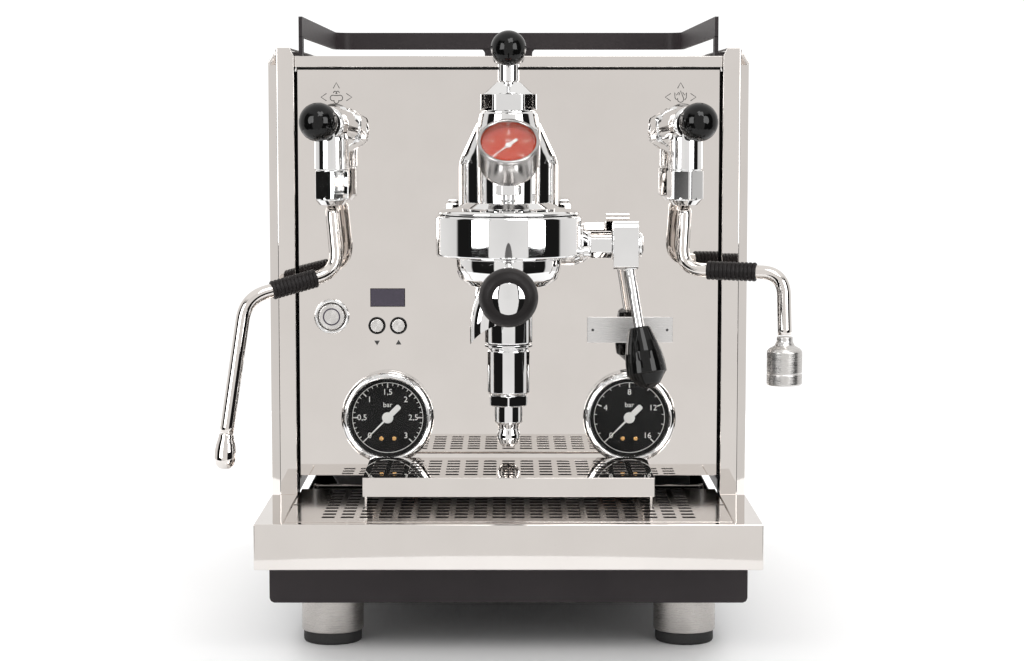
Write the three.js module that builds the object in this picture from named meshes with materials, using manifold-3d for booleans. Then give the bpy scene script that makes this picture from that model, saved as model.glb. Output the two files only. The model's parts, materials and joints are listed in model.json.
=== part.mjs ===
// Prosumer espresso machine with a lever-operated brewing group, two wand valves,
// a drip tray and a cup-warming top. Millimetres, +Z up, +X to the right as a
// person stands in front of it, and +Y towards the back.
//
// Lengths along Y are counted from the front faces of the two side panels. The
// last group moves everything so that the origin lies under the middle of the
// whole machine, on the surface that it stands on.

import * as THREE from 'three';
import { mergeVertices } from 'three/addons/utils/BufferGeometryUtils.js';
import Module from 'manifold-3d';

const wasm = await Module();
wasm.setup();

// ---------------------------------------------------------------- dimensions

const GAP = 0.3;                  // clearance between neighbouring pieces

const HALF_WIDTH = 169;           // outer faces of the side panels
const PILLAR_INNER = 150.4;       // inner edges of the side panels' front faces
const CASE_BACK = 346;            // rear edges of the side panels
const SHEET = 2;                  // thickness of the casing sheet
const PANEL_FRONT = 12;           // front face of the recessed front panel
const PANEL_BOTTOM = 104;
const PANEL_HALF = 148.9;         // leaves a shadow gap beside each side panel
const PANEL_TOP = 393;
const COVER_TOP = 402.4;          // cup-warming surface
const SIDE_TOP = 408;
const INLET_BACK = 348;           // rearmost face of the machine

const FOOT_TOP = 33;              // underside of the base pan
const PAN_TOP = 61;
const PAN_FRONT = -90;
const PAN_HALF = 161.5;
const FOOT_X = 121.5;
const FOOT_FRONT = -54;
const FOOT_BACK = 300;

const TRAY_FRONT = -120;
const TRAY_TOP = 92;
const TRAY_BOTTOM = PAN_TOP + GAP;
const TRAY_HALF = 168.7;
const GRATE_HALF = 149;
const GRATE_TOP = 92.3;
const GRATE_BACK = 23;
const STAND_TOP = 119;
const STAND_HALF = 98;
const SLOT = [8.7, 6];            // one drain slot, across and along
const SLOT_PITCH = [12.75, 12];

const GROUP_Y = -50;              // axis of the group's cam column
const BELL_Y = -102;              // axis of the bell and the portafilter
const BELL_R = 48.4;
const BELL_BOTTOM = 268.8;
const LEVER_Z = 273;              // brew lever's shaft
const HANDLE_Z = 254.5;           // portafilter handle's root
const BREW_GAUGE = [0, -120, 345];
const BREW_GAUGE_TILT = THREE.MathUtils.degToRad(46);

const GAUGE_X = 86;
const GAUGE_Z = 146.6;
const VALVE_X = 112;
const VALVE_Z = 350;
const VALVE_LEAN = [0.231, 0.0875];   // outward and upward per unit forward
const WAND_X = 121.5;
const WAND_Y = -35;
const WAND_BALL_Z = 306;

// ------------------------------------------------------------------ finishes

const FINISHES = {
  polished_steel: { color: 0xd8d3cf, roughness: 0.12, metalness: 1 },
  brushed_steel: { color: 0xb9b6b2, roughness: 0.35, metalness: 1 },
  chrome: { color: 0xe8e8e8, roughness: 0.05, metalness: 1 },
  black_metal: { color: 0x2b2829, roughness: 0.5, metalness: 0.4 },
  black_gloss: { color: 0x0b0b0b, roughness: 0.12, metalness: 0 },
  black_matte: { color: 0x1d1b1b, roughness: 0.6, metalness: 0 },
  white: { color: 0xf2f2f0, roughness: 0.5, metalness: 0 },
  copper: { color: 0xb87346, roughness: 0.35, metalness: 1 },
  tank_plastic: { color: 0xc9d2d6, roughness: 0.3, metalness: 0 },
  grey_plastic: { color: 0x8b8d8f, roughness: 0.6, metalness: 0 },
  display: { color: 0x453c50, roughness: 0.2, metalness: 0 },
  seal: { color: 0xe9e4da, roughness: 0.5, metalness: 0 },
};

const machine = new THREE.Group();

/** Adds one piece to the machine, at its place. */
function add(name, geometry, finish, position = [0, 0, 0], rotation = [0, 0, 0]) {
  const mesh = new THREE.Mesh(geometry, new THREE.MeshStandardMaterial(FINISHES[finish]));
  mesh.name = name;
  mesh.position.set(...position);
  mesh.rotation.set(...rotation);
  machine.add(mesh);
  return mesh;
}

// ------------------------------------------------------------- shape helpers

/** A closed mesh as a solid that can be joined and cut. */
function toSolid(geometry) {
  const bare = geometry.clone();
  bare.deleteAttribute('normal');
  bare.deleteAttribute('uv');
  const merged = mergeVertices(bare, 1e-4);
  const index = merged.index.array;
  const triangles = [];
  for (let i = 0; i < index.length; i += 3) {
    const [a, b, c] = [index[i], index[i + 1], index[i + 2]];
    if (a !== b && b !== c && c !== a) triangles.push(a, b, c);
  }
  return new wasm.Manifold(new wasm.Mesh({
    numProp: 3,
    vertProperties: new Float32Array(merged.attributes.position.array),
    triVerts: new Uint32Array(triangles),
  }));
}

function toGeometry(solid) {
  const mesh = solid.getMesh();
  const geometry = new THREE.BufferGeometry();
  geometry.setAttribute('position', new THREE.BufferAttribute(mesh.vertProperties, 3));
  geometry.setIndex(new THREE.BufferAttribute(mesh.triVerts, 1));
  geometry.computeVertexNormals();
  return geometry;
}

function join(...geometries) {
  return toGeometry(geometries.map(toSolid).reduce((a, b) => a.add(b)));
}

function cut(base, ...tools) {
  return toGeometry(tools.map(toSolid).reduce((a, b) => a.subtract(b), toSolid(base)));
}

function overlap(a, b) {
  return toGeometry(toSolid(a).intersect(toSolid(b)));
}

function box(x, y, z) {
  const geometry = new THREE.BoxGeometry(x[1] - x[0], y[1] - y[0], z[1] - z[0]);
  return geometry.translate((x[0] + x[1]) / 2, (y[0] + y[1]) / 2, (z[0] + z[1]) / 2);
}

/** A solid of revolution about Z. The profile [radius, z] runs up its outside. */
function turned(profile, segments = 16) {
  const points = profile.map(([radius, z]) => new THREE.Vector2(radius, z));
  return new THREE.LatheGeometry(points, segments).rotateX(Math.PI / 2);
}

function cylinder(radius, z0, z1, segments = 16) {
  return turned([[0, z0], [radius, z0], [radius, z1], [0, z1]], segments);
}

/** A tube or washer about Z. */
function ring(outer, inner, z0, z1, segments = 16) {
  return turned([[inner, z0], [outer, z0], [outer, z1], [inner, z1], [inner, z0]], segments);
}

/** A hexagonal bar along Z, measured across its flats, with an edge facing -Y or not. */
function hexagon(acrossFlats, z0, z1, edgeForward = true) {
  const bar = cylinder(acrossFlats / Math.sqrt(3), z0, z1, 6);
  return edgeForward ? bar : bar.rotateZ(Math.PI / 6);
}

function outline(points) {
  return new THREE.Shape(points.map(([x, y]) => new THREE.Vector2(x, y)));
}

function circle(radius, segments = 16) {
  const points = [];
  for (let i = 0; i < segments; i += 1) {
    const angle = (2 * Math.PI * i) / segments;
    points.push(new THREE.Vector2(radius * Math.cos(angle), radius * Math.sin(angle)));
  }
  return new THREE.Shape(points);
}

function extrude(shape, depth) {
  return new THREE.ExtrudeGeometry(shape, { depth, bevelEnabled: false, curveSegments: 6 });
}

/** An outline in X and Y, from z0 up to z1. */
function risen(shape, z0, z1) {
  return extrude(shape, z1 - z0).translate(0, 0, z0);
}

/** An outline in X and Z, from y0 back to y1. */
function deepened(shape, y0, y1) {
  return extrude(shape, y1 - y0).rotateX(Math.PI / 2).translate(0, y1, 0);
}

/** Turns a piece made along +Z to lie along a direction. */
function aimed(geometry, direction) {
  const turn = new THREE.Quaternion().setFromUnitVectors(
    new THREE.Vector3(0, 0, 1),
    new THREE.Vector3(...direction).normalize(),
  );
  return geometry.applyQuaternion(turn);
}

/** The Euler angles that turn +Z to a direction. */
function aim(direction) {
  const turn = new THREE.Quaternion().setFromUnitVectors(
    new THREE.Vector3(0, 0, 1),
    new THREE.Vector3(...direction).normalize(),
  );
  return new THREE.Euler().setFromQuaternion(turn).toArray().slice(0, 3);
}

/** A route of straight runs with rounded corners, each corner trimmed by `trim`. */
function bentPath(points, trim) {
  const corners = points.map((p) => new THREE.Vector3(...p));
  const path = new THREE.CurvePath();
  let start = corners[0];
  for (let i = 1; i < corners.length - 1; i += 1) {
    const before = corners[i].clone().lerp(corners[i - 1], trim / corners[i].distanceTo(corners[i - 1]));
    const after = corners[i].clone().lerp(corners[i + 1], trim / corners[i].distanceTo(corners[i + 1]));
    path.add(new THREE.LineCurve3(start, before));
    path.add(new THREE.QuadraticBezierCurve3(before, corners[i], after));
    start = after;
  }
  path.add(new THREE.LineCurve3(start, corners[corners.length - 1]));
  return path;
}

function tube(path, radius, steps, sides = 8) {
  const options = { extrudePath: path, steps, bevelEnabled: false };
  return new THREE.ExtrudeGeometry(circle(radius, sides), options);
}

/** A ball about the origin, with a blind hole from below for its stem. */
function ballKnob(radius, bore, boreDepth, segments = 16) {
  const open = Math.asin(bore / radius);
  const profile = [[0, boreDepth - radius], [bore, boreDepth - radius]];
  const steps = 6;
  for (let i = 0; i <= steps; i += 1) {
    const angle = open + ((Math.PI - open) * i) / steps;
    profile.push([radius * Math.sin(angle), -radius * Math.cos(angle)]);
  }
  profile[profile.length - 1][0] = 0;
  return turned(profile, segments);
}

function both(build) {
  build('left', -1);
  build('right', 1);
}

// -------------------------------------------------------------------- casing

function makeBasePan() {
  const r = 3.2;
  const k = 0.3 * r;
  const section = outline([
    [-PAN_HALF, PAN_TOP], [-PAN_HALF, FOOT_TOP + r], [-PAN_HALF + k, FOOT_TOP + k], [-PAN_HALF + r, FOOT_TOP],
    [PAN_HALF - r, FOOT_TOP], [PAN_HALF - k, FOOT_TOP + k], [PAN_HALF, FOOT_TOP + r], [PAN_HALF, PAN_TOP],
  ]);
  const wall = 2.5;
  const block = deepened(section, PAN_FRONT, CASE_BACK - 1);
  const inside = box(
    [-PAN_HALF + wall, PAN_HALF - wall],
    [PAN_FRONT + wall, CASE_BACK - 1 - wall],
    [FOOT_TOP + wall, PAN_TOP + 1],
  );
  const holes = [];
  for (const x of [-FOOT_X, FOOT_X]) {
    for (const y of [FOOT_FRONT, FOOT_BACK]) {
      holes.push(cylinder(4.4, FOOT_TOP - 1, FOOT_TOP + wall + 1, 12).translate(x, y, 0));
    }
  }
  add('base_pan', cut(block, inside, ...holes), 'black_metal');
}

/** A levelling foot: a steel drum on a threaded stem, with a rubber pad pressed in below. */
function makeFeet() {
  const profile = [
    [0, 0], [20, 0], [20, 8], [21.3, 8], [21.3, FOOT_TOP - GAP], [4, FOOT_TOP - GAP],
    [4, 50], [0, 50],
  ];
  const feet = [
    ['front', FOOT_FRONT],
    ['back', FOOT_BACK],
  ];
  for (const [row, y] of feet) {
    both((side, sign) => {
      add(`foot_${row}_${side}`, turned(profile), 'brushed_steel', [sign * FOOT_X, y, 0]);
    });
  }
}

/** A side panel: one sheet, folded into the front pillar and over the top edge. */
function makeSidePanels() {
  const bend = 7;
  const lip = 162.3;
  const crest = 153;
  both((side, sign) => {
    const mirror = (points) => outline(points.map(([x, y]) => [sign * x, y]));
    const wrap = risen(mirror([
      [PILLAR_INNER, 0], [lip, 0], [HALF_WIDTH, bend], [HALF_WIDTH, CASE_BACK],
      [HALF_WIDTH - SHEET, CASE_BACK], [HALF_WIDTH - SHEET, bend + 1],
      [lip - 1, SHEET], [PILLAR_INNER + SHEET, SHEET],
      [PILLAR_INNER + SHEET, 22], [PILLAR_INNER, 22],
    ]), PAN_TOP + GAP, SIDE_TOP);
    const face = deepened(mirror([
      [PILLAR_INNER, PAN_TOP], [HALF_WIDTH, PAN_TOP], [HALF_WIDTH, SIDE_TOP - 11],
      [lip, SIDE_TOP], [crest, SIDE_TOP], [PILLAR_INNER, COVER_TOP],
    ]), -1, CASE_BACK + 1);
    const roof = deepened(mirror([
      [HALF_WIDTH, SIDE_TOP - 11], [lip, SIDE_TOP], [crest, SIDE_TOP], [PILLAR_INNER, COVER_TOP],
      [PILLAR_INNER, COVER_TOP - SHEET], [PILLAR_INNER + SHEET, COVER_TOP - SHEET],
      [crest + 1.4, SIDE_TOP - 2.4], [lip - 0.6, SIDE_TOP - 2.4], [HALF_WIDTH - SHEET, SIDE_TOP - 12],
    ]), 1, CASE_BACK);
    add(`side_panel_${side}`, join(overlap(wrap, face), roof), 'polished_steel');
  });
}

/** A punch for a round hole through a panel that stands in X and Z. */
function roundPunch(x, z, radius, segments = 20) {
  return aimed(cylinder(radius, -SHEET, SHEET * 2, segments), [0, 1, 0]).translate(x, PANEL_FRONT, z);
}

function makeFrontPanel() {
  const depth = [PANEL_FRONT, PANEL_FRONT + SHEET];
  const sheet = box([-PANEL_HALF, PANEL_HALF], depth, [PANEL_BOTTOM, PANEL_TOP]);
  const punches = [
    roundPunch(-GAUGE_X, GAUGE_Z, 30),
    roundPunch(GAUGE_X, GAUGE_Z, 30),
    roundPunch(0, 300, 23),
    roundPunch(-VALVE_X, VALVE_Z, 10.6, 16),
    roundPunch(VALVE_X, VALVE_Z, 10.6, 16),
    roundPunch(-125.8, 218.3, 9.8, 16),
    roundPunch(-93.7, 211.8, 5.3, 12),
    roundPunch(-78.4, 211.8, 5.3, 12),
    box([-98.3, -73.7], [PANEL_FRONT - 1, PANEL_FRONT + SHEET + 1], [225.3, 238.3]),
  ];
  add('front_panel', cut(sheet, ...punches), 'polished_steel');
}

function makeRearPanel() {
  const half = HALF_WIDTH - SHEET - GAP;
  const shape = outline([
    [-half, PAN_TOP + GAP], [half, PAN_TOP + GAP], [half, 394], [150, COVER_TOP - 3.6],
    [-150, COVER_TOP - 3.6], [-half, 394],
  ]);
  const through = [CASE_BACK - SHEET - 1, CASE_BACK + 1];
  const punches = [box([88, 137], through, [71, 103])];
  for (let row = 0; row < 5; row += 1) {
    for (const x of [-80, 80]) {
      punches.push(box([x - 45, x + 45], through, [310 + row * 12, 314 + row * 12]));
    }
  }
  add('rear_panel', cut(deepened(shape, CASE_BACK - SHEET, CASE_BACK), ...punches), 'polished_steel');
}

/** The top cover doubles as the cup warmer, with an opening over the water tank. */
function makeTopCover() {
  const half = PILLAR_INNER - GAP;
  const sheet = box([-half, half], [4, CASE_BACK - SHEET - GAP], [COVER_TOP - SHEET, COVER_TOP]);
  const through = [COVER_TOP - SHEET - 1, COVER_TOP + 1];
  const punches = [box([-80, 80], [236, 330], through)];
  for (let row = 0; row < 3; row += 1) {
    for (let column = -2; column <= 2; column += 1) {
      const x = column * 52;
      const y = 70 + row * 50;
      punches.push(box([x - 18, x + 18], [y - 2, y + 2], through));
    }
  }
  const lip = box([-half, half], [4, 4 + SHEET], [394.7, COVER_TOP - 1]);
  add('top_cover', cut(join(sheet, lip), ...punches), 'polished_steel');
}

function makeTankLid() {
  const plate = box([-79.5, 79.5], [236.5, 329.5], [COVER_TOP - SHEET, COVER_TOP]);
  const rim = box([-78, 78], [238, 328], [COVER_TOP - 6, COVER_TOP - 1]);
  const recess = box([-76, 76], [240, 326], [COVER_TOP - 7, COVER_TOP - SHEET]);
  const grip = ring(9, 6.5, COVER_TOP - 0.5, COVER_TOP + 1.2, 20).translate(0, 250, 0);
  add('tank_lid', join(cut(plate, cylinder(6.5, 390, 410, 20).translate(0, 250, 0)),
    cut(rim, recess), grip), 'polished_steel');
}

/** A flat bar bent round three sides of the top, on two front legs and a rear tab. */
function makeCupRail() {
  const bar = 2.5;
  const bottom = 415.8;
  const top = 430;
  const half = 147.5;
  const front = 8;
  const back = 340;
  const corner = 16;
  const shape = new THREE.Shape();
  shape.moveTo(-half, front);
  shape.lineTo(-half, back - corner);
  shape.absarc(-half + corner, back - corner, corner, Math.PI, Math.PI / 2, true);
  shape.lineTo(half - corner, back);
  shape.absarc(half - corner, back - corner, corner, Math.PI / 2, 0, true);
  shape.lineTo(half, front);
  shape.lineTo(half - bar, front);
  shape.lineTo(half - bar, back - corner);
  shape.absarc(half - corner, back - corner, corner - bar, 0, Math.PI / 2, false);
  shape.lineTo(-half + corner, back - bar);
  shape.absarc(-half + corner, back - corner, corner - bar, Math.PI / 2, Math.PI, false);
  shape.lineTo(-half + bar, front);
  shape.closePath();
  const legs = [];
  both((side, sign) => {
    const x = [sign * half, sign * (half - bar)].sort((a, b) => a - b);
    legs.push(box(x, [front, front + 14], [COVER_TOP + GAP, bottom + 1]));
  });
  const tab = box([-20, 20], [back - bar, back], [COVER_TOP + GAP, bottom + 1]);
  add('cup_rail', join(risen(shape, bottom, top), ...legs, tab), 'black_metal');
}

// ----------------------------------------------------- drip tray and cup stand

/** Punches for a grid of drain slots through a plate that lies at the height z. */
function slotPunches(columns, rows, firstY, z) {
  const punches = [];
  for (let row = 0; row < rows; row += 1) {
    for (let column = 0; column < columns; column += 1) {
      const x = (column - (columns - 1) / 2) * SLOT_PITCH[0];
      const y = firstY + row * SLOT_PITCH[1];
      punches.push(box(
        [x - SLOT[0] / 2, x + SLOT[0] / 2],
        [y - SLOT[1] / 2, y + SLOT[1] / 2],
        [z - 3, z + 3],
      ));
    }
  }
  return punches;
}

/** The drawer: a wide flanged front, and a narrower tub that runs back under the machine. */
function makeDripTray() {
  const front = box([-TRAY_HALF, TRAY_HALF], [TRAY_FRONT, -0.5], [TRAY_BOTTOM, TRAY_TOP]);
  const tail = box([-144, 144], [-1, 49], [TRAY_BOTTOM, TRAY_TOP]);
  const ledge = box(
    [-GRATE_HALF - 0.8, GRATE_HALF + 0.8],
    [-112, GRATE_BACK + 0.8],
    [TRAY_TOP - 1.8, TRAY_TOP + 1],
  );
  const tub = box([-141, 141], [-108, 44], [TRAY_BOTTOM + 2.5, TRAY_TOP + 1]);
  add('drip_tray', cut(join(front, tail), ledge, tub), 'polished_steel');
}

function makeDripGrate() {
  const front = -111.2;
  const notch = 12;
  const shape = outline([
    [-GRATE_HALF, front], [GRATE_HALF, front],
    [GRATE_HALF, -47], [GRATE_HALF - notch, -45], [GRATE_HALF, -43],
    [GRATE_HALF, GRATE_BACK], [-GRATE_HALF, GRATE_BACK],
    [-GRATE_HALF, -43], [-GRATE_HALF + notch, -45], [-GRATE_HALF, -47],
  ]);
  const plate = risen(shape, GRATE_TOP - 1.5, GRATE_TOP);
  add('drip_grate', cut(plate, ...slotPunches(20, 10, -94, GRATE_TOP)), 'polished_steel');
}

/** A folded bridge that lifts small cups nearer to the spout. */
function makeCupStand() {
  const front = -94;
  const back = -2;
  const plate = box([-STAND_HALF, STAND_HALF], [front, back], [STAND_TOP - 1.5, STAND_TOP]);
  const slots = slotPunches(15, 6, front + 15, STAND_TOP);
  const lip = box([-STAND_HALF, STAND_HALF], [front, front + 1.5], [STAND_TOP - 13, STAND_TOP - 1]);
  const legs = [];
  both((side, sign) => {
    const x = [sign * STAND_HALF, sign * (STAND_HALF - 1.5)].sort((a, b) => a - b);
    legs.push(box(x, [front + 24, back], [GRATE_TOP + GAP, STAND_TOP - 1]));
    legs.push(box(x, [front, front + 25], [STAND_TOP - 13, STAND_TOP - 1]));
  });
  add('cup_stand', cut(join(plate, lip, ...legs), ...slots), 'polished_steel');
}

// --------------------------------------------------------------- brewing group

/** The cast body: cam column, bell dome, lever gland and the neck to the boiler. */
function makeGroupBody() {
  const column = turned([
    [0, 205.3], [16.5, 205.3], [16.5, BELL_BOTTOM], [21, BELL_BOTTOM + 1], [22, 356],
    [19.8, 363.3], [0, 363.3],
  ]).translate(0, GROUP_Y, 0);
  const shell = turned([
    [0, 262], [29, 266], [34.5, 300], [34.5, 330], [22, 357], [0, 357],
  ]);
  const back = shell.scale(1, 0.72, 1).translate(0, -32, 0);
  const dome = turned([
    [0, BELL_BOTTOM], [45.4, BELL_BOTTOM], [45.4, 296], [BELL_R - 2, 296.6], [45, 299], [26, 301], [0, 301],
  ], 28).translate(0, BELL_Y, 0);
  const neck = aimed(cylinder(22, 0, 60), [0, 1, 0]).translate(0, -34, 300);
  const gland = aimed(turned([
    [0, 0], [12.5, 0], [12.5, 54], [10.2, 54], [10.2, 70.7], [0, 70.7],
  ], 20), [1, 0, 0]).translate(0, GROUP_Y, LEVER_Z);
  const shaftBore = aimed(cylinder(4.4, 56, 72, 16), [1, 0, 0]).translate(0, GROUP_Y, LEVER_Z);
  const chamber = cylinder(40, BELL_BOTTOM - 1, 285, 24).translate(0, BELL_Y, 0);
  add('group_body', cut(join(column, back, dome, neck, gland), chamber, shaftBore), 'chrome');
}

/** The bell collar round the dome, open behind where the cam column passes. */
function makeBell() {
  const collar = ring(BELL_R, 45.8, BELL_BOTTOM, 295.7, 28).translate(0, BELL_Y, 0);
  const column = cylinder(21.4, 260, 300).translate(0, GROUP_Y, 0);
  const shell = turned([[0, 260], [30, 260], [36, 300], [0, 300]]).scale(1, 0.76, 1).translate(0, -32, 0);
  const gland = aimed(cylinder(12.9, 0, 60, 20), [1, 0, 0]).translate(0, GROUP_Y, LEVER_Z);
  add('group_bell', cut(collar, column, shell, gland), 'chrome');
}

function makeGroupTrim() {
  const nut = join(
    hexagon(34, 363.6, 375.5, false),
    turned([[0, 375], [16.5, 375], [10.5, 383.5], [0, 383.5]], 20),
  );
  add('group_top_nut', nut, 'chrome', [0, GROUP_Y, 0]);
  const screen = turned([
    [0, 278.2], [26, 278.2], [27.5, 279], [27.5, 281], [6, 281.6], [6, 284.7], [0, 284.7],
  ]);
  add('shower_screen', screen, 'brushed_steel', [0, BELL_Y, 0]);
  const lower = turned([
    [0, 134], [4, 134.2], [7.4, 137], [8.25, 141], [8, 147], [7, 147.5], [8.2, 157],
    [10, 157], [10, 166], [10, 171], [14.75, 172], [14.75, 203], [16.5, 203.6],
    [16.5, 205], [0, 205],
  ]);
  add('lower_chamber', join(lower, hexagon(25.5, 163, 171.5)), 'chrome', [0, GROUP_Y, 0]);
}

function makeBrewGauge() {
  const depth = 25;
  const shell = turned([
    [0, -depth], [16, -depth], [20.5, -depth + 3], [20.5, 0], [18, 0], [17.5, -4], [0, -4],
  ], 20);
  const tilt = new THREE.Matrix4().makeRotationX(Math.PI / 2 - BREW_GAUGE_TILT);
  const face = shell.applyMatrix4(tilt).translate(0, 0, BREW_GAUGE[2]);
  const neck = cylinder(4.5, 301.3, 322, 12);
  const adapter = turned([[0, 305], [6.5, 305], [8, 316], [8, 324], [0, 324]], 12);
  const shift = BELL_Y + 2 - BREW_GAUGE[1];
  const stem = join(neck, adapter).translate(0, shift, 0);
  add('brew_gauge_case', join(face, stem), 'brushed_steel', [0, BREW_GAUGE[1], 0]);
}

/** A needle in its own XY plane, pointing down and left, with a broad tail. */
function needle(length, tail, thickness) {
  const disc = extrude(circle(length * 0.17, 12), thickness);
  const pointer = extrude(outline([
    [-0.9, 0], [-0.25, -length], [0.25, -length], [0.9, 0],
    [1.9, tail * 0.75], [0, tail], [-1.9, tail * 0.75],
  ]), thickness);
  return join(disc, pointer).rotateZ(-Math.PI / 4);
}

function makePanelGauges() {
  const profile = [
    [0, -60], [5, -60], [5, -45], [29.5, -45], [29.5, -11.7], [33, -11.7],
    [33, -2.5], [31.5, -0.5], [29, 0], [27.8, -1.5], [27.7, -5], [0, -5],
  ];
  const front = [Math.PI / 2, 0, 0];
  const gauges = [
    ['boiler', -GAUGE_X],
    ['pump', GAUGE_X],
  ];
  for (const [name, x] of gauges) {
    add(`${name}_gauge_case`, turned(profile, 20), 'chrome', [x, 0, GAUGE_Z], front);
    add(`${name}_gauge_needle`, needle(22, 12, 0.8), 'white', [x, 4.3, GAUGE_Z], front);
  }
}

function makeBrewNeedle() {
  const away = 3.3;
  const y = BREW_GAUGE[1] + away * Math.cos(BREW_GAUGE_TILT);
  const z = BREW_GAUGE[2] - away * Math.sin(BREW_GAUGE_TILT);
  const tilt = [Math.PI / 2 - BREW_GAUGE_TILT, 0, 0];
  add('brew_gauge_needle', needle(14.5, 8, 0.8), 'white', [0, y, z], tilt);
}

function makeFlowControl() {
  const hub = turned([[0, 383.8], [7.5, 383.8], [7.5, 395], [9.5, 398], [9.5, 409], [0, 409.5]], 20);
  const stem = aimed(cylinder(3.5, 6, 36, 12), [0, -1, 0.04]).translate(0, 0, 403.2);
  add('flow_control_lever', join(hub, stem), 'chrome', [0, GROUP_Y, 0]);
  const knob = aimed(ballKnob(11.7, 3.8, 5.5), [0, -1, 0.04]);
  add('flow_control_knob', knob, 'black_gloss', [0, GROUP_Y - 45, 405]);
}

/** The lever's hub on its shaft, a rod that leans forward and outward, and the grip. */
function makeBrewLever() {
  const lean = [0.164, -0.2, -1];
  const pivotX = 79.8;
  const hub = overlap(
    box([-8.6, 8.8], [-11, 11], [-16.5, 16.5]),
    aimed(cylinder(17.5, -10, 10, 24), [1, 0, 0]),
  );
  const shaft = aimed(cylinder(4, -20, 0, 16), [1, 0, 0]);
  const cap = aimed(turned([[0, 8], [8.5, 8], [8.5, 11], [7, 12.2], [0, 12.2]], 16), [1, 0, 0]);
  const rod = aimed(cylinder(3.6, 5, 65, 12), lean);
  add('brew_lever', join(hub, shaft, cap, rod), 'chrome', [pivotX, GROUP_Y, LEVER_Z]);
  const knob = turned([
    [0, 65.4], [4.1, 65.4], [4.1, 57.5], [7.2, 57.5], [7.8, 58.5], [10.7, 67.5], [12.5, 75],
    [13.4, 81], [13.7, 86], [13.7, 89.7], [10.3, 93.5], [7.8, 97], [4, 99.3], [0, 99.7],
  ]);
  add('brew_lever_knob', knob, 'black_gloss', [pivotX, GROUP_Y, LEVER_Z], aim(lean));
}

// ----------------------------------------------------------------- portafilter

function makePortafilter() {
  const bowl = turned([
    [0, 247], [14, 247], [28, 249.5], [33.5, 254], [35, 260], [35, 276],
    [30.4, 276], [30.4, 256], [27, 253], [0, 253],
  ], 24);
  const neck = aimed(turned([[0, 30], [8.5, 30], [8, 46], [9.5, 54], [9.5, 60], [0, 60]], 16), [0, -1, 0])
    .translate(0, 0, HANDLE_Z);
  const ears = box([-38.6, 38.6], [-8, 8], [270.5, 275.5]);
  const clear = cylinder(33, 269, 277);
  add('portafilter', join(bowl, neck, cut(ears, clear)), 'chrome', [0, BELL_Y, 0]);

  const basket = turned([
    [0, 257], [24, 257], [29, 262], [29.6, 276.3], [33.4, 276.3], [33.4, 277.3],
    [28.6, 277.3], [28, 262.5], [23.5, 258], [0, 258],
  ], 20);
  add('filter_basket', basket, 'brushed_steel', [0, BELL_Y, 0]);

  const outside = bentPath([[-5, 0, 254], [-16, 0, 230], [-16, 0, 198]], 10);
  const inside = bentPath([[-10.5, 0, 242], [-16, 0, 230], [-16, 0, 196]], 8);
  const mouth = aimed(cylinder(28.7, -15, 15, 48), [0, 1, 0]).translate(-0.9, 0, 195);
  const above = box([-30, 30], [-15, 15], [247 - GAP, 270]);
  const spout = cut(tube(outside, 10, 9, 12), tube(inside, 8.4, 9, 12), mouth, above);
  add('portafilter_spout', spout, 'chrome', [0, BELL_Y, 0]);

  const handle = turned([
    [0, 0], [8.6, 0], [9.4, 3], [10.4, 20], [12.8, 60], [15.8, 100], [17.5, 118],
    [17, 124], [14, 128.5], [9, 130], [0, 130],
  ]);
  const root = [0, BELL_Y - 60.4, HANDLE_Z];
  add('portafilter_handle', handle, 'black_matte', root, aim([0, -1, 0.005]));
}

// ---------------------------------------------------------- valves and wands

function valveDirection(sign) {
  return new THREE.Vector3(sign * VALVE_LEAN[0], -1, VALVE_LEAN[1]).normalize().toArray();
}

/** The point on a valve's axis at a distance in front of the panel. */
function onValve(sign, distance) {
  const [dx, dy, dz] = valveDirection(sign);
  return [sign * VALVE_X + dx * distance, PANEL_FRONT + dy * distance, VALVE_Z + dz * distance];
}

function makeValve(name, side, sign) {
  const direction = valveDirection(sign);
  const along = (geometry) => aimed(geometry, direction);
  const tail = aimed(cylinder(10, -24, 4, 16), [0, -1, 0]);
  const rose = aimed(turned([[0, GAP], [13.4, GAP], [13.4, 2], [12, 3.5], [0, 3.5]]), [0, -1, 0]);
  const nut = along(hexagon(28, 5.5, 21));
  const barrel = along(turned([
    [0, 4], [11, 4], [11, 21], [13.4, 22], [13.4, 46], [12.6, 53], [10.6, 57], [0, 57],
  ]));
  const down = [sign * (WAND_X - VALVE_X), WAND_Y - PANEL_FRONT, -VALVE_Z];
  const branch = turned([[0, 322], [11.75, 322], [11.75, 350], [0, 350]]).translate(...down);
  const lower = join(
    hexagon(22.7, 303, 324).rotateZ(sign < 0 ? 0.08 : 0.21),
    turned([[0, 299.5], [8.5, 299.5], [11.5, 303.5], [11.5, 305], [0, 305]]),
  ).translate(...down);
  const bore = along(cylinder(8, 38, 58));
  const seatBore = cylinder(6.3, 299, 318, 16).translate(...down);
  add(`${name}_valve`, cut(join(tail, rose, nut, barrel, branch, lower), bore, seatBore), 'chrome',
    [sign * VALVE_X, PANEL_FRONT, VALVE_Z]);

  const facing = aim(direction);
  const pivot = onValve(sign, 46);
  add(`${name}_rocker`, ring(7.3, 5.1, -2, 2, 20), 'seal', pivot, facing);
  const stick = turned([
    [0, -6], [3.2, -6], [3.2, -3.4], [4.6, 0], [3.2, 3.4], [3.2, 19.7], [0, 19.7],
  ], 16);
  add(`${name}_joystick`, stick, 'chrome', pivot, facing);
  add(`${name}_knob`, ballKnob(13.2, 3.6, 6), 'black_gloss', onValve(sign, 74), facing);
}

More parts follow.
